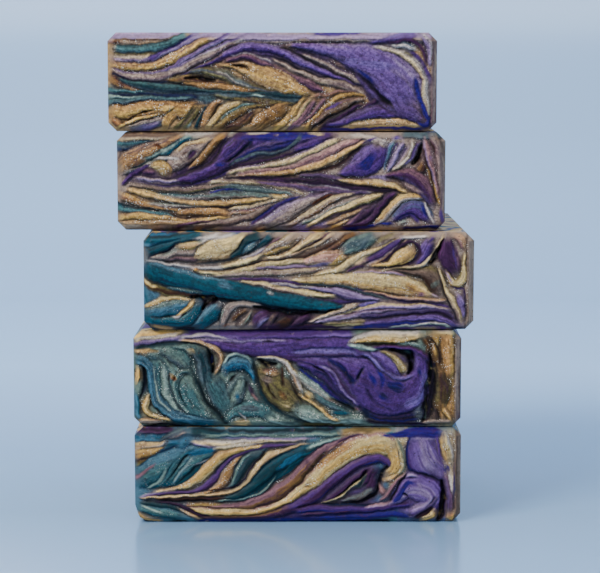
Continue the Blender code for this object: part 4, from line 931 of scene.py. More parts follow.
# %% Folds of the lower bar: laid over those
LOWER_FOLDS += [
    Fold("tan tan taupe", (12, 22.9, 0.3), (16, 22.6, 0.5), (19, 22, 0.6), (21.4, 20.7, 0.8),
        (23, 18.9, 0.8), (23, 16.6, 0.6), (21.8, 14.6, 0.4), (21.2, 14, 0.2), rise=1),
    stain("rust", (17.6, 23.1, 0.25), (18.6, 22.9, 0.2)),
    Fold("ink pine", (15.2, 18.2, 0.3), (15.6, 15, 0.4), (16.6, 11.8, 0.6), (18, 8.8, 0.7), (20, 5.8, 0.7),
        (22.4, 3, 0.9), (24, 1, 0.8), sink=0.9),
    Fold("steel blue", (24, 14, 0.8), (24.6, 16, 1.4), (27, 17, 1.9), (29.6, 16.8, 1.7), (31, 14.8, 1),
        (32, 12, 0.6), rise=1),
    Fold("steel mint steel", (23.6, 16.4, 0.4), (25, 18.4, 0.5), (27.4, 19.2, 0.5), (29.8, 18.6, 0.5),
        (31.4, 16.8, 0.4), rise=0.9),
    Fold("slate sage", (25, 8.6, 1.2), (26.6, 11.6, 1.3), (28.2, 13.4, 0.9), (30, 12.4, 0.6)),
    Fold("sage sage slate", (26, 5.4, 0.9), (27.4, 8.6, 1.5), (28.4, 11.4, 1.2), (28.4, 13.2, 0.6),
        rise=0.9),
    stain("blue", (27.2, 9.2, 0.4), (27.6, 7, 0.5)),
    Fold("ink", (25.4, 12.2, 0.3), (26.2, 13.2, 0.6), (27.3, 13.8, 0.35), sink=0.9),
    Fold("ink plum", (30, 12.6, 0.4), (31, 10, 0.6), (32.6, 7.4, 0.5), (34, 5.6, 0.3), sink=0.4),
    stain("rose", (31.2, 8.8, 0.35), (32.6, 6.8, 0.35)),
    Fold("sea sea sea", (24.4, 1.8, 0.8), (26.4, 4, 1.1), (29.6, 4.6, 1.9), (33, 4.4, 1.8), (36, 2.6, 1.3),
        rise=0.8),
    stain("slate", (27.6, 5.2, 0.5), (30.6, 5, 0.8), (33.6, 4.6, 0.6)),
    Fold("cream tan", (26, 0.5, 0.7), (29.4, 0.9, 0.9), (31, 0.4, 0.4), rise=0.6),
    Fold("pale", (27.6, 4.2, 0.2), (28.8, 2.8, 0.25), (29.6, 1.6, 0.2), rise=0.9),
    Fold("olive olive olive", (32.8, 16.8, 0.8), (34, 14.4, 1.9), (36.2, 11.4, 3.3), (38.8, 8.8, 3.6),
        (41.6, 6.6, 2.6), (43.6, 4.8, 1), rise=0.9),
    Fold("bronze tan", (33.4, 15, 0.6), (36, 14.6, 1), (38.6, 14.6, 0.6)),
    Fold("taupe stone", (33.6, 13.2, 0.7), (35, 12.6, 0.9), (36.6, 12.4, 0.7)),
    Fold("ink", (33.2, 17.6, 0.5), (35.2, 16.9, 0.9), (37.4, 16.6, 0.5), sink=1.5),
    groove("umber", (38.8, 16.4, 0.3), (39.2, 13.4, 0.4), (39.2, 10.6, 0.3)),
    groove("umber", (35, 11.6, 0.25), (36, 9.4, 0.3), (37.6, 7.4, 0.25)),
    Fold("rust gold", (38.6, 9.2, 0.6), (39.6, 8, 0.8), rise=0.7),
    stain("olive cream", (39, 6.4, 0.9), (42, 5.6, 0.8)),
    Fold("cream pale tan", (32, 18.3, 0.3), (36, 18.6, 0.4), (39.6, 17.2, 0.7), (42, 14.4, 0.9),
        (43.5, 11.4, 0.8), (44.4, 8.8, 0.4), rise=1),
    stain("rust", (42, 12.8, 0.3), (42.6, 11.8, 0.3)),
    groove("umber pine", (40.6, 14, 0.25), (42, 10.6, 0.3), (43.6, 7.6, 0.3), (46, 5.8, 0.2)),
    Fold("ink pine", (31.6, 18, 0.35), (32.4, 14.4, 0.5), (33, 11, 0.7), (34.8, 7.4, 0.8), (38, 4.4, 0.7),
        (42, 2.4, 0.7), (47, 0.6, 0.6), sink=0.5),
    Fold("sage mint", (35, 2.4, 0.9), (39, 1, 0.8), (43, -0.2, 0.6)),
    Fold("mint mint stone", (42.6, 14.2, 0.8), (45.6, 12.3, 1.4), (48.6, 9.8, 1.4), (52, 7.6, 1.1),
        (55.4, 5.9, 0.8), (58, 4.8, 0.4)),
    Fold("sage mint", (43, 4.6, 1.4), (47, 3.2, 2), (52, 1.6, 1.8), (57, 2.2, 1.6), (61, 1.6, 1)),
    Fold("cream gold olive", (45, 9.4, 0.5), (46.4, 8.4, 1), (46.8, 6.8, 0.5), rise=0.8),
    Fold("sea slate", (47.4, 8.4, 0.7), (50, 6.8, 0.8), (53, 5.2, 0.7), (56.4, 3.8, 0.6)),
    Fold("teal", (51.6, 4, 0.6), (54.6, 3.6, 0.7), (57, 3.6, 0.4)),
    Fold("tan gold cream", (43.6, 8.6, 0.35), (46.6, 6.5, 0.4), (49.4, 4.8, 0.45), (51.6, 2.6, 0.45),
        (54, 1.4, 0.4), rise=0.8),
    Fold("cream rose", (50.6, 8, 0.25), (53, 6.7, 0.4), (55.6, 5.6, 0.3), rise=0.8),
    Fold("olive ink", (44, 0.4, 0.7), (50, 0.3, 0.6), (56, 0.2, 0.5), rise=0.1),
    Fold("lavender violet violet violet", (42.6, 17.4, 1), (48, 16.4, 2.2), (53, 15, 3.6), (58, 13.2, 5.2),
        (63, 11, 6.2), (67.6, 9.2, 5.9), (71.6, 9.4, 4.4), (74.2, 12.2, 2.6), (75.4, 15.6, 1.8),
        (75.2, 18.2, 1.5), (73, 20.2, 1), (68.6, 21, 0.7), rise=1.15),
    Fold("ink indigo", (43, 15.6, 0.4), (47.6, 12.6, 0.6), (51, 9.6, 0.7), (54.4, 7.2, 0.7),
        (57.6, 5.4, 0.5), rise=0.2),
    Fold("navy violet", (47, 15.4, 0.3), (50, 13.4, 0.8), (52, 11, 0.7), (54, 9, 0.4), rise=0.4),
    groove("ink", (43, 17.5, 0.2), (47, 16.4, 0.3), (50.2, 14.8, 0.35), (52.2, 12.4, 0.3)),
    Fold("lilac lavender", (49, 16.4, 0.3), (52.4, 14.8, 0.5), (53.9, 12.2, 0.5), (55, 9.6, 0.4),
        (57.6, 7, 0.35), (59, 5.6, 0.2), rise=1),
    Fold("indigo navy", (50.6, 18.2, 0.4), (53.6, 16.6, 0.6), (55.8, 14.4, 0.5), (57.4, 12.2, 0.7),
        (57.6, 10.8, 0.4), rise=0.5),
]

# %% Folds of the lower bar: laid last
LOWER_FOLDS += [
    stain("indigo", (54.6, 13, 0.4), (56, 10.6, 0.5), (56.8, 9, 0.3)),
    Fold("navy", (60.8, 15.8, 0.2), (59.4, 14.2, 0.3), (58.6, 12.4, 0.5), rise=0.3),
    stain("indigo", (61.8, 14.4, 0.4), (63, 12.8, 0.7), (63.8, 11.2, 0.5)),
    stain("indigo navy", (66.4, 12.4, 0.6), (68, 10.9, 0.9), (69.4, 9.9, 0.9), (70.8, 9.6, 0.4)),
    stain("navy indigo", (64.2, 9.4, 0.6), (65.4, 8.2, 0.8), (67, 7.2, 0.7)),
    stain("indigo navy", (75, 16.2, 0.5), (75.2, 14.8, 0.6), (75.1, 13.4, 0.4)),
    Fold("violet", (61, 10.6, 0.25), (63, 7.6, 0.3), (65.6, 5.2, 0.3), (69, 3.8, 0.25), rise=0.5),
    Fold("periwinkle periwinkle", (60, 19.8, 0.5), (63.2, 17.9, 0.8), (65.8, 15.6, 0.8), (68.4, 13.6, 0.7),
        (71, 12.8, 0.6), (73.2, 13.6, 0.4), rise=1.2),
    Fold("dusk lavender violet", (61.6, 20, 0.5), (64.6, 18.9, 1.2), (67.2, 16.9, 1.7), (69, 14.8, 1),
        (70, 13.8, 0.4), rise=0.9),
    Fold("ink", (67.2, 20.7, 0.4), (70.4, 20, 0.9), (72.6, 18.8, 1.3), (73, 16.6, 1), (72.4, 14.4, 0.6),
        sink=2.3),
    Fold("cream olive cream", (64.4, 20.2, 0.3), (67.2, 19.2, 0.6), (69.2, 17.5, 0.9), (70.8, 15.4, 0.9),
        (71.4, 13.9, 0.5), rise=0.9),
    stain("umber", (71.4, 18.3, 0.25), (72.8, 18.1, 0.3)),
    stain("rust", (71, 13.6, 0.25), (71.5, 13.4, 0.25)),
    Fold("pale cream", (56.6, 22.6, 0.4), (60, 23.9, 0.9), (65, 24.4, 1), (71, 24.4, 1), (76, 24.6, 0.9)),
    Fold("cream gold olive", (58, 22.4, 0.4), (62, 23.2, 0.8), (66, 22.9, 0.9), (71, 23, 0.8),
        (75, 23.8, 0.6), rise=0.9),
    Fold("mint", (56.4, 21.9, 0.3), (59.4, 21.4, 0.6), (62, 20.8, 0.6), (64.6, 20.5, 0.3), rise=1),
    groove("olive ink", (59.4, 22, 0.25), (64.6, 21.8, 0.3), (70, 21.9, 0.35), (74, 23, 0.3)),
    Fold("sage mint", (69, 22, 0.3), (73, 22.2, 0.5), (75.4, 21.6, 0.4)),
    Fold("plum violet", (62.6, 21.1, 0.35), (68.6, 21.2, 0.5), (73.6, 20.6, 0.7), (77, 18.6, 0.7),
        (78.4, 16.8, 0.6), rise=0.9),
    Fold("ink", (77.6, 20.6, 0.4), (78.2, 17.6, 0.7), (78, 14, 1), (77.3, 10.6, 1.1), (76.9, 7, 1.2),
        (77, 3.6, 1.2), (76.4, 1.4, 0.8), sink=1.9),
    Fold("indigo ink indigo", (61, 3.4, 0.7), (65, 2.4, 0.8), (70, 2.3, 1.1), (75, 3.4, 1.5), rise=0.3),
    Fold("navy ink", (59.8, 5.4, 0.5), (61.2, 3.6, 0.6), (62.4, 2, 0.5), rise=0.1),
    Fold("plum ink plum", (60.6, 1.8, 0.5), (65, 1.2, 0.5), (72, 0.8, 0.5), (78, 0.8, 0.4)),
    Fold("slate", (51.6, 7.4, 0.3), (54.6, 6.2, 0.7), (57.4, 4.9, 0.7), (58.6, 4.2, 0.3), sink=1.4),
    Fold("rust gold", (58.4, 5, 0.4), (59.2, 4.4, 0.4), rise=0.7),
    Fold("olive umber olive", (80.4, 15.6, 1), (81, 12, 1.8), (81.2, 8.6, 1.8), (80.8, 5.6, 1.1)),
    Fold("ink taupe", (78.6, 6, 0.8), (79.4, 3, 1), (80, 1, 0.6)),
    Fold("tan gold", (81.6, 5.6, 0.6), (82.6, 3.4, 0.7), (83.8, 1.2, 0.4), rise=0.8),
    Fold("gold bronze", (79.4, 24.6, 1.2), (79, 21.4, 0.8), (79.4, 18.6, 0.5)),
    Fold("gold ochre ochre", (81.8, 25, 1.4), (82.4, 21, 1.7), (82.8, 17.2, 1.5), (83.2, 13, 0.8), rise=0.9),
    stain("pale cream", (79, 25.2, 0.7), (84, 25, 0.8)),
    groove("umber ink", (77.4, 24, 0.3), (79.4, 21.8, 0.35), (80.3, 19, 0.35), (80.2, 15.9, 0.3)),
    Fold("umber bronze", (76, 24.2, 0.6), (77, 22, 0.7), (77.8, 20, 0.5)),
    stain("bronze gold", (84, 20, 0.3), (84.1, 12, 0.35), (84.3, 3, 0.35)),
    Fold("taupe stone", (85.4, 26, 0.9), (85.4, 13, 0.95), (85.4, -1, 0.9)),
    Fold("stone", (76, 1.4, 0.4), (80, 1.2, 0.5), (84, 1.4, 0.4)),
    stain("lavender periwinkle lavender", (76.4, 15, 0.7), (76.4, 11, 1.3), (75, 7.6, 1.5), (71, 5.4, 1)),
    stain("indigo navy", (67.2, 11.4, 0.6), (69.4, 11, 1.1), (71.4, 10.2, 0.5)),
    stain("indigo", (64, 15.6, 0.4), (65.4, 13, 0.7), (65.2, 10.4, 0.4)),
    # Painted shadow: the next two darken the undercut along the violet lobe and the strip right of its curl.
    stain("dusk plum", (50.4, 17.6, 0.3), (53.2, 15, 0.6), (55.6, 11, 0.7), (59, 7, 0.4)),
    Fold("ink", (79.2, 16.8, 0.4), (79, 12.4, 0.9), (78.2, 7, 1.1), (77.6, 2.4, 0.7), sink=1.5),
]
print(len(LOWER_FOLDS), "folds on the lower bar")
# %% [markdown]
# ## The bottom bar
#
# Gold, violet and dark teal leaves leave one point low on the left edge and sweep up to the
# right, like a feather. On the right a violet loop closes round a grey almond with a slit, and
# two rounded violet lobes stand one above the other beside a black gap.

# %% Folds of the bottom bar: the deepest
BOTTOM_FOLDS = [
    stain("gold rose", (36, 6, 4), (50, 15, 5), (60, 22, 4)),
    stain("violet dusk indigo", (30, 1, 3), (50, 5, 4), (66, 9, 6)),
    stain("lavender violet lavender", (74, 26, 5), (75, 16, 6), (76, 8, 6), (76, -1, 6)),
    stain("stone cream sage", (70, 25, 2.2), (70.4, 19, 2), (69.6, 13, 1.8), (68, 9, 1.6)),
    stain("cream stone", (83, 26, 4), (84, 18, 3), (85, 8, 2.6), (85, -1, 2.6)),
    Fold("ink plum", (-1, 25, 0.9), (5, 24.8, 0.9), (11, 25.2, 0.6)),
    Fold("blue steel", (-1, 22.4, 1), (4, 22.6, 0.9), (9, 23.3, 0.8), (13, 23.6, 0.5)),
    Fold("pine slate stone", (6, 22.2, 0.4), (10, 23.6, 0.9), (14, 25, 0.9)),
    Fold("ink pine slate", (14, 24.4, 1.1), (19, 24.3, 1.1), (25, 23.8, 0.9)),
    Fold("teal sage steel", (18, 23.5, 0.8), (25, 23.4, 0.8), (33, 23.2, 0.8), (41, 23.4, 0.8),
        (48, 23.7, 0.7), (55, 24, 0.6)),
    Fold("navy", (22, 23.2, 0.2), (29, 23, 0.25), (36, 23.1, 0.2), rise=0.1),
    groove("pine ink", (24, 24.9, 0.4), (34, 24.5, 0.5), (44, 24.8, 0.5), (54, 25.2, 0.4)),
    Fold("cream tan pale", (-1, 20.4, 1.1), (3, 20.6, 1.2), (6, 21, 0.9), (8.6, 22, 0.4)),
    Fold("gold bronze", (-0.6, 18.2, 1.2), (3, 18.8, 1.3), (6, 19.5, 0.9), (8.6, 20, 0.4)),
    Fold("umber olive", (-0.4, 15.6, 0.9), (3, 16.6, 0.8), (6, 18, 0.6), (8.4, 19.2, 0.3)),
    Fold("steel sea teal", (0, 12, 2.2), (4, 13, 3.4), (8, 14.4, 4.4), (12, 15.4, 5), (15.4, 16.6, 4),
        (18.4, 18.4, 2), (21, 19.8, 0.6), rise=1),
    Fold("blue steel", (8.6, 21.2, 0.7), (12, 21.3, 1.2), (15, 22.4, 1)),
    Fold("teal navy", (6, 19, 0.3), (9.4, 20.4, 0.7), (12, 21.4, 0.3), rise=0.4),
    Fold("teal sea", (6, 9.8, 0.4), (8.6, 12.6, 0.6), (10.6, 15.8, 0.6), (13, 18.4, 0.6), (15.6, 20, 0.4),
        rise=0.9),
    Fold("pine", (8, 10.4, 0.2), (10.6, 13.8, 0.3), (12.6, 17, 0.3), (15, 19.2, 0.2), rise=0.1),
    Fold("mint steel", (10, 10.6, 0.3), (12.8, 14.6, 0.5), (15.6, 18, 0.4), rise=0.8),
    Fold("pine teal", (10, 9.8, 0.3), (14.2, 12.4, 0.8), (17, 15, 0.8), (20, 17.6, 0.5), rise=0.5),
    Fold("sea mint", (3, 9.4, 0.3), (6.6, 11.4, 0.5), (8.4, 14.6, 0.4), rise=0.7),
    Fold("pale steel", (16, 15.6, 0.2), (18.6, 16.8, 0.3), (20.6, 17.8, 0.2), rise=0.8),
    Fold("blue", (13.6, 18.8, 0.5), (17.6, 19.3, 0.9), (22, 19.9, 0.5), rise=0.7),
    Fold("mauve", (-0.4, 11.8, 0.4), (2, 13.4, 0.45), (5.8, 16.2, 0.3), rise=0.8),
    Fold("pale cream lilac", (15, 21.6, 0.4), (18, 21.3, 0.9), (21, 21.1, 0.9), (26, 21.2, 0.9),
        (32, 21.8, 0.7), (38, 22.2, 0.5), (46, 22.4, 0.4), rise=0.8),
    stain("lilac", (19, 22.5, 0.2), (27, 22.6, 0.3), (35, 22.6, 0.3), (43, 22.6, 0.35), (48, 22.7, 0.3)),
    Fold("pale cream", (21, 19.9, 0.4), (26, 20.6, 0.6), (32, 21.1, 0.4), rise=0.8),
    Fold("tan gold cream", (5, 8.4, 0.3), (10, 9, 0.5), (14, 10.4, 0.9), (17.4, 12.6, 1.3), (20, 15.4, 1.6),
        (22.6, 17.8, 1.4), (26, 19.2, 0.9), (30, 20, 0.6), (34.6, 20.9, 0.3), rise=1),
    stain("rust umber", (19.8, 15.6, 0.25), (20.8, 15.4, 0.3)),
    Fold("lilac", (1, 7.2, 0.2), (6, 8.2, 0.25), (12, 9.3, 0.2), rise=0.7),
    Fold("violet plum", (0.6, 6.8, 0.25), (7, 7.9, 0.4), (13, 8.3, 0.5), (17, 9.2, 0.7), (20.4, 11.2, 1),
        (22.8, 14, 0.95), (25, 16.6, 0.8), (28, 18.4, 0.6), (32, 19.6, 0.5), (35, 20.5, 0.7), (39, 21, 0.4),
        (43, 21.3, 0.2), rise=0.8),
    Fold("navy", (20.6, 12.6, 0.2), (22.6, 15.2, 0.25), (24.6, 17.6, 0.25), rise=0.1),
    Fold("stone ochre ochre", (15, 7.9, 0.3), (19.4, 8.6, 0.5), (22.4, 10.4, 1.2), (24.2, 12.8, 1.5),
        (25.8, 15.4, 1.1), (28.2, 17.4, 0.6), (31, 18.4, 0.3), rise=1),
    stain("bronze", (23.4, 11.8, 0.2), (24.8, 14.2, 0.4), (25.8, 16, 0.2)),
    Fold("slate pine", (24.6, 9.3, 0.4), (26.4, 11.2, 0.9), (27.8, 14.2, 1.5), (30, 17, 1.5),
        (33, 18.8, 0.9), (35.4, 20, 0.3)),
]

# %% Folds of the bottom bar: laid over those
BOTTOM_FOLDS += [
    Fold("sage sea", (25.6, 10.4, 0.3), (26.8, 13.6, 0.4), (28.6, 16.8, 0.4), (31, 18.4, 0.2), rise=0.9),
    groove("plum ink", (18, 8.7, 0.15), (25, 9.4, 0.25), (28.4, 11, 0.35), (30.4, 13.8, 0.35),
        (32.4, 17, 0.35), (34.6, 19.7, 0.25)),
    Fold("cream tan bronze", (1, 6.9, 0.2), (8, 7.1, 0.4), (16, 7.5, 0.45), (22, 7.9, 0.45), (26, 8.7, 0.5),
        (29.4, 10.2, 0.75), (31.6, 12.9, 0.85), (33.6, 16, 1), (36, 18.1, 1), (39, 19.3, 0.8),
        (43, 20.4, 0.6), (48, 21.2, 0.3), rise=1),
    Fold("umber umber", (5, 6.5, 0.3), (12, 6.4, 0.5), (19, 6.6, 0.6), (25, 7.1, 0.5)),
    Fold("ink", (3, 6.1, 0.2), (10, 5.9, 0.35), (16, 5.8, 0.5), (22, 5.8, 0.4), (26, 6.2, 0.2), rise=0,
        sink=0.5),
    Fold("teal pine teal", (23, 6.7, 0.4), (28, 7.9, 1.1), (32, 10, 1.9), (35.6, 13.2, 2.6), (39.4, 16, 2.6),
        (43, 18.2, 2.1), (47, 19.9, 1.4), (51, 21.4, 0.9), (55, 22.6, 0.4), rise=1),
    Fold("pine teal", (30, 7.8, 0.4), (34, 9.8, 0.7), (37.4, 12.6, 0.8), (40.6, 15.4, 0.4), rise=0.4),
    Fold("sage sea", (21, 5.9, 0.2), (28, 6.5, 0.3), (32.4, 7.7, 0.4), (35.2, 9.8, 0.35), (37.4, 12.4, 0.2),
        rise=0.9),
    stain("blue", (38, 14.6, 0.5), (41, 17, 0.8), (44.6, 19, 0.6)),
    Fold("sea mint", (45.4, 20.3, 0.3), (50, 21.8, 0.45), (55, 23, 0.4), rise=0.7),
    Fold("mauve mauve bronze plum", (13, 4.9, 0.3), (19, 4.5, 0.6), (25.4, 4.3, 0.9), (31, 5.3, 1.4),
        (36, 7.4, 1.7), (40, 9.8, 1.8), (43.4, 12.6, 1.9), (46, 15.8, 1.9), (49, 18.6, 1.7), (53, 20.9, 1.3),
        (57, 22.6, 0.8), (61, 23.8, 0.4), rise=1),
    stain("gold olive", (14, 5.2, 0.3), (18, 4.9, 0.45), (23, 5.2, 0.4)),
    Fold("bronze umber", (41, 8.6, 0.3), (44, 11.4, 0.4), (46.6, 14.4, 0.6), (48.4, 16.8, 0.5),
        (50.6, 19.4, 0.3), rise=0.3),
    Fold("umber", (46.4, 15.2, 0.4), (48, 15.1, 0.4), sink=0.5),
    Fold("rust", (52.8, 21, 0.4), (54, 20.6, 0.5), sink=0.4),
    Fold("plum", (53, 21.4, 0.25), (56.6, 22.7, 0.4), (60, 23.6, 0.25), rise=0.1),
    Fold("rose cream gold cream", (13, 4.3, 0.3), (17, 3.5, 0.9), (21, 3, 1.1), (26, 2.9, 1.1), (31, 3, 0.9),
        (36, 4.1, 0.9), (40.4, 6.2, 1.2), (44, 8.7, 1.6), (47.6, 11.8, 2), (51, 15, 2.4), (55, 18.2, 2.8),
        (60, 20.4, 3), (65, 21, 2.7), (69, 20, 2), rise=1),
    Fold("rust", (45.4, 9.8, 0.4), (46.6, 9.7, 0.4), sink=0.3),
    stain("ochre ochre", (48, 14.6, 0.6), (53, 18.6, 0.9), (58, 21.4, 0.8)),
    stain("olive tan", (54, 24.4, 0.7), (61, 24.7, 0.8), (68, 24.8, 0.6)),
    Fold("tan gold cream", (67.4, 20.6, 1.9), (69, 17.6, 1.7), (68.6, 14.6, 1.7), (66.6, 12.2, 1.4),
        rise=0.8),
    stain("umber", (66.4, 13.4, 0.3), (67.6, 13.8, 0.3)),
    Fold("sage cream", (68.6, 23, 0.5), (70, 20.6, 0.7), (70.8, 17.4, 0.8), (70.6, 14.4, 0.7),
        (69, 12.4, 0.4)),
    stain("slate", (69.4, 20, 0.2), (70.2, 17.6, 0.25)),
    Fold("plum ink", (4, 6.1, 0.2), (9, 5.3, 0.45), (13, 4.2, 0.6), (16, 2.4, 0.8), (20, 1.1, 0.8),
        rise=0.3),
    Fold("tan stone", (11, 3.9, 0.25), (14.2, 2.5, 0.5), (18, 0.8, 0.4), rise=0.8),
    Fold("pine", (1, 5.7, 0.3), (5, 4.9, 0.6), (9, 4.1, 0.6), (12.6, 2.9, 0.4)),
    Fold("steel sea teal", (0.6, 4.4, 0.8), (4, 3.4, 1.1), (8, 2.6, 1.3), (12.4, 1.4, 1.1), rise=0.8),
    Fold("mint", (1.8, 5, 0.2), (5, 3.5, 0.3), (7.6, 2.7, 0.2), rise=0.9),
    Fold("tan gold", (0.4, 2.8, 0.5), (2.6, 1.1, 0.5), (7, 0.4, 0.4)),
    groove("ink", (9, 0.1, 0.3), (14, 0.3, 0.3)),
    Fold("bronze plum indigo", (17.6, 0.9, 0.8), (24, 1.2, 0.9), (30, 1.4, 0.9), (35, 2.1, 1),
        (39.6, 3.4, 1.2), (43.4, 5, 1.5)),
    Fold("mauve violet plum indigo", (40, 3.6, 1), (44.6, 5.6, 1.5), (48.4, 8, 1.6), (51.6, 10.4, 1.7),
        (55, 13, 1.7), (58.4, 15.4, 1.5), (61.8, 17, 1.3), (64.8, 17.4, 1.1), (67, 16.2, 0.9),
        (66.6, 14.8, 0.5), rise=1),
    Fold("ink", (66.6, 15.2, 0.5), (65.4, 13.6, 0.6), (64.9, 11.4, 0.8), (64.2, 9.2, 0.8), (62.4, 7, 0.7),
        (59, 5.6, 0.5), (55, 5.2, 0.3), rise=0, sink=0.7),
    Fold("dusk plum plum", (50, 6.1, 0.3), (53.6, 8.2, 1.4), (56.8, 10.6, 2), (60, 12.6, 2.2),
        (62.6, 14, 1.6), (64, 15.2, 0.5), rise=0.9),
    Fold("plum dusk", (48, 5.6, 0.3), (52, 8.6, 0.5), (56, 12, 0.5), (60, 14.8, 0.4), (63.6, 16, 0.25),
        rise=0.1),
    Fold("plum plum", (61.4, 8.4, 0.8), (62.6, 10.8, 1.1), (63.4, 13, 0.8)),
]

# %% Folds of the bottom bar: laid last
BOTTOM_FOLDS += [
    Fold("slate taupe", (54.4, 6, 0.3), (58, 6.6, 0.7), (61, 7.8, 0.8), (63, 9.4, 0.4), rise=0.9),
    Fold("cream sage", (48.6, 5.1, 0.2), (53.4, 6.8, 0.35), (57.2, 9.4, 0.4), (59.8, 11.6, 0.35),
        (61.4, 13.2, 0.2), rise=0.9),
    Fold("ink", (49.6, 5.2, 0.15), (54.6, 8, 0.25), (58.2, 10.9, 0.4), (60.6, 13.4, 0.6), (61.8, 14.6, 0.3),
        sink=1.2),
    Fold("slate ink", (57.6, 9, 0.3), (59.8, 10.4, 0.7), (61, 12.4, 0.5), sink=0.5),
    Fold("plum violet indigo", (42, 3.4, 0.8), (48, 4, 1.1), (55, 3.8, 1.1), (62, 3.8, 1), (68, 4.6, 1),
        (73, 5.4, 0.9)),
    Fold("plum", (43.6, 2.2, 0.3), (50, 2.6, 0.35), (57, 3.1, 0.3), rise=0.8),
    groove("ink navy", (49, 5.1, 0.3), (54, 5, 0.5), (60, 4.7, 0.4), (65, 5, 0.25)),
    stain("rose lilac", (61, 4.2, 0.3), (65, 4.8, 0.5), (69, 5.8, 0.3)),
    Fold("indigo", (16, 0.3, 0.5), (30, 0.3, 0.6), (43, 0.7, 0.7), (53, 1, 0.9), (61, 1.5, 1),
        (66, 2.1, 0.9), (70, 2.2, 0.7), (73, 1.6, 0.4), rise=0.6),
    stain("navy ink", (40, -0.2, 0.5), (56, 0, 0.6), (68, 0.3, 0.6)),
    Fold("lavender lilac lavender violet", (74, 22.8, 1.9), (75, 20, 3), (76, 17, 3.9), (77.6, 14.6, 3.7),
        (79.8, 13, 2.4), rise=1.15),
    stain("lilac", (73.4, 22.6, 0.4), (76, 22.8, 0.6), (79, 22.6, 0.5)),
    Fold("indigo ink", (73, 23.4, 0.3), (72, 20.6, 0.4), (71.8, 17.6, 0.35), (72.6, 14.4, 0.5),
        (74.4, 13.4, 0.4), rise=0.1),
    stain("indigo indigo", (64.8, 23.2, 0.3), (68, 23.5, 0.5), (71, 24, 1), (75, 24.2, 1.4), (79, 24.1, 1.4),
        (81.4, 24, 0.6)),
    Fold("violet", (79.6, 23.4, 0.5), (80.2, 21.6, 0.4), (80.4, 18.8, 0.4), (81.6, 16.4, 0.3)),
    Fold("mauve dusk", (81.6, 13.4, 0.7), (82.6, 11, 0.8), (83.2, 7, 0.8), (83.2, 2.6, 0.8)),
    Fold("pale cream gold", (81.6, 23.8, 0.9), (82, 21, 1.3), (82.8, 18.6, 1.4), (83.4, 16, 0.9)),
    stain("olive gold", (82, 20.6, 0.8), (82.6, 18.6, 0.8)),
    Fold("cream pale", (83.8, 13.6, 0.8), (84, 10.6, 0.9), (84.2, 7.6, 0.5)),
    stain("indigo", (81.4, 15.4, 0.5), (82.3, 14.5, 1), (82.7, 13.2, 0.4)),
    stain("slate violet", (85, 18.6, 0.3), (84.7, 14, 0.45), (84.4, 10, 0.4), (84, 5, 0.25)),
    Fold("violet lavender lilac lavender", (67.4, 5, 0.6), (69.6, 7, 1.6), (72.2, 9.4, 2.6),
        (75.4, 9.4, 3.6), (78.2, 8, 3.1), (78.4, 5.4, 2.4), (75.4, 3.6, 1.6), (72, 3, 0.8), rise=1.15),
    # Painted highlight: this lighter lilac stands for light on the top of the violet lobe.
    Fold("lilac", (71.6, 12.2, 0.3), (73.2, 12.8, 0.5), (75, 12.2, 0.3), rise=1),
    stain("lilac", (74.6, 10.6, 0.5), (75.8, 9.4, 0.7)),
    stain("indigo", (67.8, 5, 0.3), (69.8, 7.2, 0.7), (71, 9.4, 0.7), (72.4, 11.2, 0.5), (74, 10.4, 0.4)),
    Fold("navy", (71.2, 8, 0.35), (72, 7.2, 0.35), sink=0.3),
    Fold("mauve", (64.4, 5.7, 0.3), (66.6, 7.4, 0.45), (68.4, 10, 0.5), (70.6, 12.4, 0.35), (72, 13.2, 0.2),
        rise=1),
    Fold("rose mauve", (64.6, 10.4, 0.4), (65.6, 8.4, 0.8), (66.6, 7.8, 0.4)),
    Fold("gold tan", (66, 11.4, 0.6), (68, 12, 0.7), (69.6, 13.2, 0.3)),
    groove("ink", (67, 5.2, 0.3), (69, 8.4, 0.4), (70.6, 11.4, 0.35), (72.4, 13.4, 0.25)),
    Fold("ink violet", (72.6, 13.6, 0.3), (76, 13, 0.4), (79, 11.9, 0.4), (81, 10.8, 0.35), rise=0.1),
    Fold("ink", (80.9, 11.4, 0.4), (81.5, 8.6, 0.8), (81.4, 5.4, 1), (81.2, 2.6, 1.2), (80.4, 0.8, 0.9),
        sink=1.9),
    Fold("plum umber", (73.6, 1, 0.5), (76.8, 2.6, 0.8), (79.2, 4.6, 0.7), rise=0.2),
    Fold("dusk dusk", (72.6, 1.4, 0.4), (76, 3.2, 0.4), (78.8, 5.4, 0.6), (80.3, 7.4, 0.5), rise=1.1),
    Fold("cream gold", (75.6, 0.6, 0.5), (78, 1.6, 0.8), (79.2, 3.2, 0.6), rise=0.9),
    Fold("rust gold", (83, 2.2, 0.5), (83.8, 1.4, 0.8), (84.4, 3.2, 0.5), rise=0.8),
    Fold("stone taupe", (85.6, 26, 0.9), (85.5, 13, 0.95), (85.5, -1, 0.9)),
]
print(len(BOTTOM_FOLDS), "folds on the bottom bar")
# %% [markdown]
# ## A bar's block
#
# Each bar is a block of soap with every edge planed off at 45 degrees, and its top is rough. A
# cube with bevelled edges would give the block but not a skin fine enough to hold the folds. So
# a fine grid the size of the top comes first, its four corners are cut off, its rim is extruded
# back through the depth of the loaf and closed with a slightly smaller flat bottom.

# %% Sizes of a bar
LOAF_HEIGHT = 62.0  # from the textured top to the flat bottom of the loaf, in mm
PLANED = 2.2  # leg of the planed edge, in mm
SKIN_STEP = 0.2  # spacing of the grid that carries the folds, in mm
ROWS_BACK = (2.6, 8.0, 24.0, 43.0, LOAF_HEIGHT - PLANED)  # rows of points on the sides, in mm
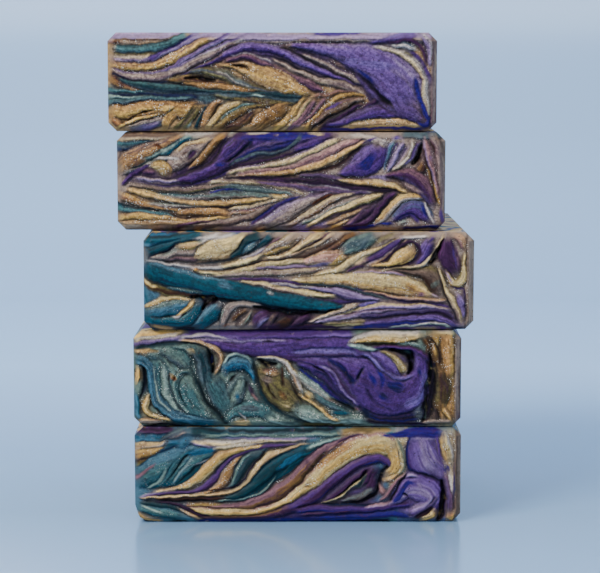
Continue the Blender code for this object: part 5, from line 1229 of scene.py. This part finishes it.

# Node, body, material slot, length in mm, turn in degrees, folds, the batter under the folds, the
# batter whose darkened colour is painted into the creases as shade, and how strong that painted shade is.
BARS = [
    ("soap_bar_bottom", "bottom_bar", "soap_bottom", 86.2, 0.3, BOTTOM_FOLDS, "steel", "navy", 0.45),
    ("soap_bar_lower", "lower_bar", "soap_lower", 86.1, -0.4, LOWER_FOLDS, "sage", "pine", 0.85),
    ("soap_bar_middle", "middle_bar", "soap_middle", 86.2, 0.5, MIDDLE_FOLDS, "stone", "plum", 0.8),
    ("soap_bar_upper", "upper_bar", "soap_upper", 85.7, -0.4, UPPER_FOLDS, "stone", "plum", 0.8),
    ("soap_bar_top", "top_bar", "soap_top", 85.5, 0.3, TOP_FOLDS, "tan", "plum", 0.8),
]


# %% Model the block
def slice_corner(place, outward):
    """Cuts away what lies beyond a plane, as one stroke of the planer does."""
    bpy.ops.mesh.select_all(action="SELECT")
    bpy.ops.mesh.bisect(plane_co=place, plane_no=outward, clear_outer=True)


def block(name, length, thickness, worn):
    """The bar's block, its lower left front corner at the origin. All in metres."""
    bpy.ops.object.select_all(action="DESELECT")
    middle = (length / 2 * MM, 0, thickness / 2 * MM)
    bpy.ops.mesh.primitive_grid_add(
        x_subdivisions=round(length / SKIN_STEP), y_subdivisions=round(thickness / SKIN_STEP),
        size=1, location=middle, rotation=(math.pi / 2, 0, 0))
    bar = bpy.context.object
    bar.name = name
    bar.scale = (length * MM, thickness * MM, 1)
    bpy.ops.object.transform_apply(location=True, rotation=True, scale=True)

    bpy.ops.object.mode_set(mode="EDIT")
    leg = PLANED * MM
    for right in (0, 1):
        for top in (0, 1):
            corner = (right * length * MM, 0, top * thickness * MM)
            side, up = 2 * right - 1, 2 * top - 1
            slice_corner((corner[0] - side * leg, 0, corner[2]), (side, 0, up))
    for angle in worn:
        turn = math.radians(angle)
        slice_corner((worn[angle] * MM, 0, worn[angle] * MM), (-math.cos(turn), 0, -math.sin(turn)))

    bpy.ops.mesh.select_all(action="SELECT")
    bpy.ops.mesh.region_to_loop()
    reached = 0.0
    for row in (*ROWS_BACK, LOAF_HEIGHT):
        bpy.ops.mesh.extrude_edges_move(TRANSFORM_OT_translate={"value": (0, (row - reached) * MM, 0)})
        reached = row
    bpy.ops.transform.resize(value=(1 - 2 * PLANED / length, 1, 1 - 2 * PLANED / thickness),
                             center_override=middle)
    bpy.ops.mesh.edge_face_add()
    bpy.ops.mesh.select_all(action="SELECT")
    bpy.ops.mesh.normals_make_consistent(inside=False)
    bpy.ops.object.mode_set(mode="OBJECT")
    return bar


# %% [markdown]
# The map is read at every point of the skin. Where a fold would stand above the planed edge the
# plane wins, because the planer cut the folds off there. Shade and light are painted into the
# colour: it is darkened by how far a point lies below its surroundings, as painted shade in the
# hollows, and lightened where it stands above them, as painted highlight on the ridges.

# %% Shape and colour the skin
TOUCH = 0.01  # two places closer than this are the same, in mm
DEEPEST = 9.0  # no hollow is deeper than this, in mm


def read_map(top, field, along, up):
    """A map's values at places of the bar, blended between its grid points."""
    column = np.clip((along - top.columns[0]) / MAP_STEP, 0, len(top.columns) - 1.001)
    row = np.clip((up - top.rows[0]) / MAP_STEP, 0, len(top.rows) - 1.001)
    left, low = column.astype(int), row.astype(int)
    right_share, high_share = column - left, row - low
    if field.ndim == 3:
        right_share, high_share = right_share[:, None], high_share[:, None]
    lower = field[low, left] * (1 - right_share) + field[low, left + 1] * right_share
    upper = field[low + 1, left] * (1 - right_share) + field[low + 1, left + 1] * right_share
    return lower * (1 - high_share) + upper * high_share


def planed_depth(along, up, length, thickness):
    """How far back the planed edges push a point of the front, in mm."""
    edge = np.minimum.reduce([along, up, length - along, thickness - up])
    waver = 0.25 * (lattice_noise(along / 9, up / 9, 5) - 0.5)
    corner = np.minimum(along, length - along) + np.minimum(up, thickness - up) - PLANED
    return np.maximum(PLANED - edge + waver * ease(edge / 0.8), PLANED - corner)


NEAR = 12  # rounds of softening for the surroundings of a crease
FAR = 90  # and for the surroundings of a whole hollow


def lay_top(length, thickness, folds, ground, crease, depth, seed):
    """The finished map of one top: every fold laid, then painted shade in the hollows and painted highlight
    on the ridges.
    """
    top = TopMap(length, thickness, ground, crease, depth, seed)
    for number, fold in enumerate(folds, start=1):
        top.lay(fold, number)
    top.fill_gaps()
    top.height = softened(top.height, 1)
    near = top.height - softened(top.height, NEAR)
    far = top.height - softened(top.height, FAR)
    # Painted shade in the hollows and painted highlight on the ridges.
    shade = 1 - 0.65 * depth * ease(-near / 0.32) - 0.34 * ease(-far / 0.9)
    shade = shade * (1 + 0.28 * ease(near / 0.3) + 0.14 * ease(far / 0.8))
    top.colour = np.clip(top.colour * shade[..., None], 0, 1)
    return top


def shape_skin(bar, top, length, thickness):
    """Moves the front's points to the folds and gives every point its colour, mica and flow."""
    mesh = bar.data
    points = np.empty(len(mesh.vertices) * 3)
    mesh.vertices.foreach_get("co", points)
    points = points.reshape(-1, 3) / MM
    along, depth, up = points.T.copy()
    front = depth < TOUCH
    relief = -read_map(top, top.height, along, up)
    planed = planed_depth(along, up, length, thickness)
    pushed = np.maximum(np.clip(relief, 0, None), planed)
    rim = np.minimum.reduce([along, up, length - along, thickness - up]) < TOUCH
    pushed = np.where(rim, np.minimum(pushed, PLANED), np.minimum(pushed, DEEPEST))
    depth = np.where(front, pushed, depth)
    points[:, 1] = depth
    mesh.vertices.foreach_set("co", (points * MM).ravel())

    colour = read_map(top, top.colour, along, up)
    mica = read_map(top, top.mica, along, up)
    batter = mesh.attributes.new("batter", "FLOAT_COLOR", "POINT")
    batter.data.foreach_set("color", np.column_stack([colour, mica]).ravel())
    flow = read_map(top, top.flow, along, up)
    mesh.attributes.new("flow", "FLOAT_VECTOR", "POINT").data.foreach_set("vector", flow.ravel())
    uncut = np.where(front, ease((relief - planed) / 0.3), 0.0)
    mesh.attributes.new("uncut", "FLOAT", "POINT").data.foreach_set("value", uncut)
    place = mesh.attributes.new("place", "FLOAT_VECTOR", "POINT")
    place.data.foreach_set("vector", np.column_stack([along, depth, up]).ravel())


SHARP_ANGLE = math.radians(42)  # an edge of the block stays crisp and the folds look smooth


def stand_in_place(bar, node, length, turn):
    """Turns the bar and moves it to where its CAD solid lies, with its place in its mesh."""
    low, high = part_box(node)
    middle = [(low[axis] + high[axis]) / 2 for axis in range(3)]
    turn = math.radians(turn)
    back = np.array([length / 2, LOAF_HEIGHT / 2]) * MM
    swung = (back[0] * math.cos(turn) - back[1] * math.sin(turn),
             back[0] * math.sin(turn) + back[1] * math.cos(turn))
    bar.rotation_euler.z = turn
    bar.location = (middle[0] - swung[0], middle[1] - swung[1], low[2])
    bpy.ops.object.select_all(action="DESELECT")
    bar.select_set(True)
    bpy.context.view_layer.objects.active = bar
    bpy.ops.object.transform_apply(location=True, rotation=True, scale=True)
    bpy.ops.object.shade_smooth_by_angle(angle=SHARP_ANGLE, keep_sharp_edges=False)


# %% [markdown]
# ## The soap itself
#
# One recipe makes all five finishes. On the top, the colour laid with the folds is threaded with
# fine streaks that follow the flow, speckled with mica that carries painted glints, and pricked
# with pores painted dark as the shade in their pits. On the cut faces and the loaf's bottom the
# batters show in section, as winding ribbons, so there the colour comes from a bent noise in the
# bar's own millimetres. Soap is waxy: light goes a little way in, and the sheen is broken, so the
# roughness varies too.

# %% Shader arithmetic
class Wire:
    """A value in a shader. Arithmetic on it adds Math nodes."""

    def __init__(self, recipe, socket):
        self.recipe = recipe
        self.socket = socket

    def math(self, operation, *others):
        sockets = dict(enumerate((self, *others)))
        return self.recipe.node("ShaderNodeMath", {"operation": operation}, sockets)

    def __add__(self, other):
        return self.math("ADD", other)

    __radd__ = __add__

    def __mul__(self, other):
        return self.math("MULTIPLY", other)

    __rmul__ = __mul__

    def __sub__(self, other):
        return self.math("SUBTRACT", other)

    def __rsub__(self, other):
        return (self * -1) + other

    def __truediv__(self, other):
        return self.math("DIVIDE", other)

    def smooth(self, low, high):
        """0 at low and 1 at high, with a smooth step between. It may fall as well as rise."""
        settings = {"interpolation_type": "SMOOTHSTEP"}
        return self.recipe.node("ShaderNodeMapRange", settings, {0: self, 1: low, 2: high})


class Recipe:
    """A material whose nodes are added one at a time."""

    def __init__(self, name):
        self.material = bpy.data.materials.new(name)
        self.material.use_nodes = True
        self.tree = self.material.node_tree
        self.shader = self.tree.nodes["Principled BSDF"]

    def put(self, socket, value):
        if isinstance(value, Wire):
            self.tree.links.new(value.socket, socket)
        else:
            socket.default_value = value

    def node(self, kind, settings=None, sockets=None, out=0):
        """Adds a node: its settings first, then values or wires for its sockets."""
        made = self.tree.nodes.new(kind)
        for name, value in (settings or {}).items():
            if name == "stops":
                self.set_stops(made.color_ramp, value)
            else:
                setattr(made, name, value)
        for key, value in (sockets or {}).items():
            self.put(made.inputs[key], value)
        return Wire(self, made.outputs[out])

    def set_stops(self, ramp, stops):
        while len(ramp.elements) < len(stops):
            ramp.elements.new(0.5)
        for element, (position, colour) in zip(ramp.elements, stops):
            element.position = position
            element.color = (*colour, 1.0)

    def mix(self, first, second, share, how="MIX"):
        """Blends two colours."""
        settings = {"data_type": "RGBA", "blend_type": how}
        return self.node("ShaderNodeMix", settings, {0: share, 6: first, 7: second}, out=2)

    def scaled(self, vector, factors, shift=(0, 0, 0)):
        """A vector stretched along each axis and moved."""
        return self.node("ShaderNodeMapping", None, {0: vector, 1: shift, 3: factors})

    def noise(self, vector, scale, detail=2.0, roughness=0.5, distortion=0.0, out=0):
        sockets = {"Vector": vector, "Scale": scale, "Detail": detail, "Roughness": roughness,
                   "Distortion": distortion}
        return self.node("ShaderNodeTexNoise", None, sockets, out)


# %% [markdown]
# In section the loaf is a base of one batter with ribbons of the others stirred through it. A
# ribbon runs where a smooth noise is near its middle value, because that gives long winding bands
# and a high value gives islands. A second noise lets the ribbon swell and thin out. The place is
# bent twice by other noises first, so that the ribbons curl, and a thin darker line runs beside
# them, as it does in real soap.

# %% Soap recipe
RIBBONS = (0.10, 0.065, 0.055, 0.04, 0.04, 0.03, 0.025)  # how wide each further batter's ribbons are


def marbled(recipe, place, batters, shift):
    """The colour of the soap in section at a place, in mm."""
    bent = recipe.scaled(place, (1, 1, 1), shift)
    for size, pull in ((0.035, (46, 26, 46)), (0.10, (9, 6, 9))):
        sway = recipe.noise(bent, size, detail=1.0, out=1)
        bent = recipe.node("ShaderNodeVectorMath", {"operation": "MULTIPLY_ADD"},
                           {0: sway, 1: pull, 2: bent})
    ground = BATTER_LIGHT[batters[0]]
    colour = recipe.node("ShaderNodeRGB")
    colour.socket.default_value = (*ground, 1)
    for sheet, name in enumerate(batters[1:]):
        spot = recipe.scaled(bent, (1, 0.4, 1), (41 * sheet, 17 * sheet, 0))
        level = recipe.noise(spot, 0.05 + 0.012 * (sheet % 3), detail=1.0, roughness=0.4)
        swell = recipe.noise(spot, 0.075, detail=0.0).smooth(0.25, 0.65)
        off = (level - 0.5).math("ABSOLUTE") / (swell * RIBBONS[sheet] + 0.003)
        halo = BATTER_LIGHT[name] * 0.45 + ground * 0.25
        colour = recipe.mix(colour, (*halo, 1), off.smooth(1.25, 1.10))
        colour = recipe.mix(colour, (*BATTER_LIGHT[name], 1), off.smooth(1.05, 0.92))
    return colour


# %% [markdown]
# The finish is worked up like a glaze. Each pattern darkens the colour where its noise is low and
# lightens it where it is high: threads along the flow, then mottle about a millimetre across,
# then grain. Mica sits in separate grains, so it comes from cells; some are smoother and get a
# painted glint, a near-white highlight painted into the colour. Pores are cells as well, larger
# and further apart, with a pit in the bump and painted dark as the shade in the pit.

# %% Finish of one bar
MICA_CELLS = {"Scale": 3.6, "Randomness": 1.0}  # grains of mica in a millimetre
PORE_CELLS = {"Scale": 0.62, "Randomness": 1.0}  # pores in a millimetre
# the colour of a painted glint: a near-white highlight painted on some mica grains
PAINTED_GLINT = (1.0, 0.95, 0.84, 1)
# the colour of the painted shade in a pore's pit
PAINTED_PORE_SHADE = (0.035, 0.02, 0.015, 1)


def worked_up(recipe, colour, pattern, low, high, share):
    """Darkens a colour where a pattern is low and lightens it where the pattern is high."""
    for (start, end), tint in (low, high):
        colour = recipe.mix(colour, (*tint, 1), pattern.smooth(start, end) * share, "MULTIPLY")
    return colour


def soap(name, batters, shift, coarse):
    """One bar's finish. Batters colour its sections, and shift picks its part of the loaf."""
    recipe = Recipe(name)
    batter, mica, flow, uncut, place = (
        recipe.node("ShaderNodeAttribute", {"attribute_name": attribute}, out=out)
        for attribute, out in (("batter", "Color"), ("batter", "Alpha"), ("flow", "Vector"),
                               ("uncut", "Fac"), ("place", "Vector")))
    depth = recipe.node("ShaderNodeSeparateXYZ", None, {0: place}, out=1)

    threads = recipe.noise(recipe.scaled(flow, (0.30, 3.0, 1.7)), 1.0, detail=3.0, distortion=0.5)
    patches = 0.25 + 0.75 * recipe.noise(place, 0.16, detail=1.0).smooth(0.38, 0.62)
    grain = recipe.noise(place, 2.6, detail=4.0, roughness=0.65)
    mottle = recipe.noise(place, 1.2, detail=2.0)
    lumps = recipe.noise(place, 0.55, detail=2.0)

    section = marbled(recipe, place, batters, shift)
    inside = (depth + (lumps - 0.5) * 5).smooth(2.0, 4.6)
    colour = recipe.mix(batter, section, inside)
    threaded = uncut * patches * (0.35 + 0.5 * coarse)
    colour = worked_up(recipe, colour, threads, ((0.54, 0.38), (0.45, 0.38, 0.45)),
                       ((0.54, 0.70), (1.50, 1.42, 1.36)), threaded)
    worked = (0.4 + uncut * 0.6) * coarse
    colour = worked_up(recipe, colour, mottle, ((0.52, 0.38), (0.62, 0.58, 0.62)),
                       ((0.50, 0.64), (1.36, 1.32, 1.28)), worked)
    colour = worked_up(recipe, colour, grain, ((0.50, 0.32), (0.45, 0.42, 0.46)),
                       ((0.54, 0.74), (1.60, 1.50, 1.40)), worked)

    cells = {"Vector": place, **MICA_CELLS}
    chance = recipe.node("ShaderNodeTexVoronoi", {"feature": "F1"}, cells, out="Color")
    chance = recipe.node("ShaderNodeSeparateColor", None, {0: chance}, out=0)
    near = recipe.node("ShaderNodeTexVoronoi", {"feature": "F1"}, cells)
    dusting = recipe.noise(place, 0.35, detail=1.0).smooth(0.40, 0.62)
    mica_and_painted_glint = chance.smooth(0.70, 0.90) * near.smooth(0.55, 0.25) * mica.smooth(0.1, 0.6)
    mica_and_painted_glint = mica_and_painted_glint * uncut * dusting
    # Painted highlight: some mica grains are painted near white as glints; they are smoother too.
    colour = recipe.mix(colour, PAINTED_GLINT, mica_and_painted_glint * 0.85)

    pore = recipe.node("ShaderNodeTexVoronoi", {"feature": "F1"}, {"Vector": place, **PORE_CELLS})
    pore = (pore + (grain - 0.5) * 0.14).smooth(0.155, 0.075)
    # Painted shade: the pores are painted dark, as the shade in their pits.
    colour = recipe.mix(colour, PAINTED_PORE_SHADE, pore * 0.75)

    height = threads * uncut * 0.5 + (mottle * 0.6 + grain * 0.4) * worked + lumps * 0.3 - pore * 0.6
    relief = {"Strength": 0.30 + 0.15 * coarse, "Distance": 0.25 * MM, "Height": height}
    bump = recipe.node("ShaderNodeBump", None, relief)
    finish = {
        "Base Color": colour,
        "Roughness": 0.50 + uncut * 0.08 + (grain - 0.5) * 0.25 - mica_and_painted_glint * 0.34,
        "Normal": bump,
        "Specular IOR Level": 0.16,
        "Subsurface Weight": 0.12,
        "Subsurface Radius": (1.0, 0.7, 0.5),
        "Subsurface Scale": 1.4 * MM,
    }
    for socket, value in finish.items():
        recipe.put(recipe.shader.inputs[socket], value)
    return recipe.material


# %% [markdown]
# ## The five bars
#
# Each bar is made in turn: its block, its map of folds, its skin and its finish. It takes the
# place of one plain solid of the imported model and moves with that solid's body.

# %% Make the five bars
# For each bar: the batters of its cut faces, where in the loaf's pattern it lies, and how coarse
# its texture is.
SECTIONS = {
    "soap_bar_bottom": ("cream teal indigo violet steel mauve gold lavender", (0, 0, 7), 0.3),
    "soap_bar_lower": ("sage teal indigo violet olive lavender cream sea", (31, 0, 40), 0.6),
    "soap_bar_middle": ("cream teal plum tan lavender blue stone gold", (64, 0, 83), 0.5),
    "soap_bar_upper": ("stone violet indigo cream mauve gold sage lilac", (97, 0, 121), 0.7),
    "soap_bar_top": ("tan violet teal cream lavender gold sage stone", (128, 0, 166), 0.8),
}
# The bottom bar's lower left corner is rubbed round, by cuts at these angles that pass this far
# along and up from the corner, in mm.
WORN_CORNER = {70: 1.25, 20: 1.25}

for number, (node, body, slot, length, turn, folds, ground, crease, depth) in enumerate(BARS):
    low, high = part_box(node)
    thickness = (high[2] - low[2]) / MM
    worn = WORN_CORNER if node == "soap_bar_bottom" else {}
    bar = block("swirled_" + node, length, thickness, worn)
    top = lay_top(length, thickness, folds, ground, crease, depth, 100 * number)
    shape_skin(bar, top, length, thickness)
    stand_in_place(bar, node, length, turn)
    batters, shift, coarse = SECTIONS[node]
    bar.data.materials.append(soap(slot, batters.split(), shift, coarse))
    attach(bar, body)
    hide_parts(node)
    print(bar.name, len(bar.data.vertices), "points,", len(folds), "folds")

# %% [markdown]
# ## The studio
#
# The stack stands on a pale blue table that sweeps up behind it without a corner. The light is
# soft: a large lamp high on the left in front, a weaker one on the right, and one above and
# behind that lights the planed edges.

# %% Table and backdrop
SWEEP_RADIUS = 0.30  # of the curve from the table up to the backdrop, in metres
SWEEP_BACK = 0.42  # where the table ends and the curve starts
SWEEP_STEPS = 24
TABLE_SIZE = (3.2, 1.5)
BACKDROP_HEIGHT = 1.2

bpy.ops.object.select_all(action="DESELECT")
bpy.ops.mesh.primitive_plane_add(size=1, location=(0, SWEEP_BACK - TABLE_SIZE[1] / 2, 0))
sweep = bpy.context.object
sweep.name = "table_sweep"
sweep.scale = (*TABLE_SIZE, 1)
bpy.ops.object.transform_apply(location=True, rotation=True, scale=True)
bpy.ops.object.mode_set(mode="EDIT")
bpy.ops.mesh.select_all(action="DESELECT")
bpy.ops.object.mode_set(mode="OBJECT")
back_edge = max(edge.index for edge in sweep.data.edges
                if min(sweep.data.vertices[v].co.y for v in edge.vertices) > SWEEP_BACK - 0.01)
sweep.data.edges[back_edge].select = True
bpy.ops.object.mode_set(mode="EDIT")
bpy.ops.mesh.select_mode(type="EDGE")
for step in range(SWEEP_STEPS):
    start, end = (math.pi / 2 * t / SWEEP_STEPS for t in (step, step + 1))
    move = (0, SWEEP_RADIUS * (math.sin(end) - math.sin(start)),
            SWEEP_RADIUS * (math.cos(start) - math.cos(end)))
    bpy.ops.mesh.extrude_edges_move(TRANSFORM_OT_translate={"value": move})
bpy.ops.mesh.extrude_edges_move(TRANSFORM_OT_translate={"value": (0, 0, BACKDROP_HEIGHT)})
bpy.ops.mesh.select_all(action="SELECT")
bpy.ops.mesh.normals_make_consistent(inside=False)
bpy.ops.object.mode_set(mode="OBJECT")
bpy.ops.object.shade_smooth()
print("the table and backdrop have", len(sweep.data.polygons), "faces")

# %% [markdown]
# The table is glossy pale blue paper. A painted shade makes it darkest around the stack, and it is
# lightest far behind it, so its colour changes along the sweep, and it is faintly clouded.

# %% Pale blue paper
# The paper's colour, darkened by painted shade near the stack, from in front of it to behind it, over
# TONE_LENGTH from TONE_FRONT.
PAPER_TONES_AND_SHADE = [(0.0, (0.25, 0.41, 0.65)), (0.14, (0.165, 0.30, 0.47)), (0.30, (0.23, 0.39, 0.63)),
         (0.62, (0.44, 0.68, 1.0))]
TONE_FRONT = -0.09  # where the first tone lies along Y, in metres
TONE_LENGTH = 0.5

paper = Recipe("pale_blue_paper")
object_place = paper.node("ShaderNodeTexCoord", None, None, out="Object")
away = paper.node("ShaderNodeSeparateXYZ", None, {0: object_place}, out=1)
paper_tone_and_shade = paper.node("ShaderNodeValToRGB", {"stops": PAPER_TONES_AND_SHADE}, {0: (away - TONE_FRONT) / TONE_LENGTH})
cloud = paper.noise(object_place, 5.0, detail=2.0)
paper.put(paper.shader.inputs["Base Color"], paper.mix(paper_tone_and_shade, (0.48, 0.66, 0.92, 1), cloud * 0.1))
paper.put(paper.shader.inputs["Roughness"], 0.18)
paper.put(paper.shader.inputs["Specular IOR Level"], 1.0)
sweep.data.materials.append(paper.material)


# %% Lights
STACK_MIDDLE = (0, 0, 0.064)


def lamp(name, place, width, height, power, colour):
    """A soft rectangular lamp that faces the middle of the stack."""
    bpy.ops.object.light_add(type="AREA", location=place)
    light = bpy.context.object
    light.name = name
    light.data.shape = "RECTANGLE"
    light.data.size, light.data.size_y = width, height
    light.data.energy = power
    light.data.color = colour
    away = np.array(place) - np.array(STACK_MIDDLE)
    light.rotation_euler = (math.acos(away[2] / np.linalg.norm(away)), 0,
                            math.atan2(away[1], away[0]) + math.pi / 2)


lamp("key", (-0.55, -0.55, 0.80), 0.42, 0.36, 15.8, (1.0, 0.97, 0.92))
lamp("fill", (0.80, -0.70, 0.40), 0.7, 0.6, 3.0, (0.90, 0.95, 1.0))
lamp("top", (0.0, 0.10, 0.95), 0.9, 0.5, 4.5, (0.97, 0.98, 1.0))

world = bpy.data.worlds.new("studio")
world.use_nodes = True
glow = world.node_tree.nodes["Background"].inputs
glow["Color"].default_value = (0.60, 0.75, 0.98, 1)
glow["Strength"].default_value = 0.38
bpy.context.scene.world = world
print("three lamps, and a sky of strength", glow["Strength"].default_value)

# %% [markdown]
# The camera stands half a metre in front of the stack, level with the top bar, and looks down a
# little. Its long lens keeps the edges of the bars nearly parallel.

# %% Camera
CAMERA_PLACE = (2.4 * MM, -531 * MM, 125.2 * MM)
CAMERA_DIP = 7.1  # degrees below level
bpy.ops.object.camera_add(location=CAMERA_PLACE, rotation=(math.radians(90 - CAMERA_DIP), 0, 0))
camera = bpy.context.object
camera.data.sensor_width = 36.0
camera.data.lens = 115.8
camera.data.dof.use_dof = False
bpy.context.scene.camera = camera
print("the camera looks from", CAMERA_PLACE, "at", CAMERA_DIP, "degrees below level")
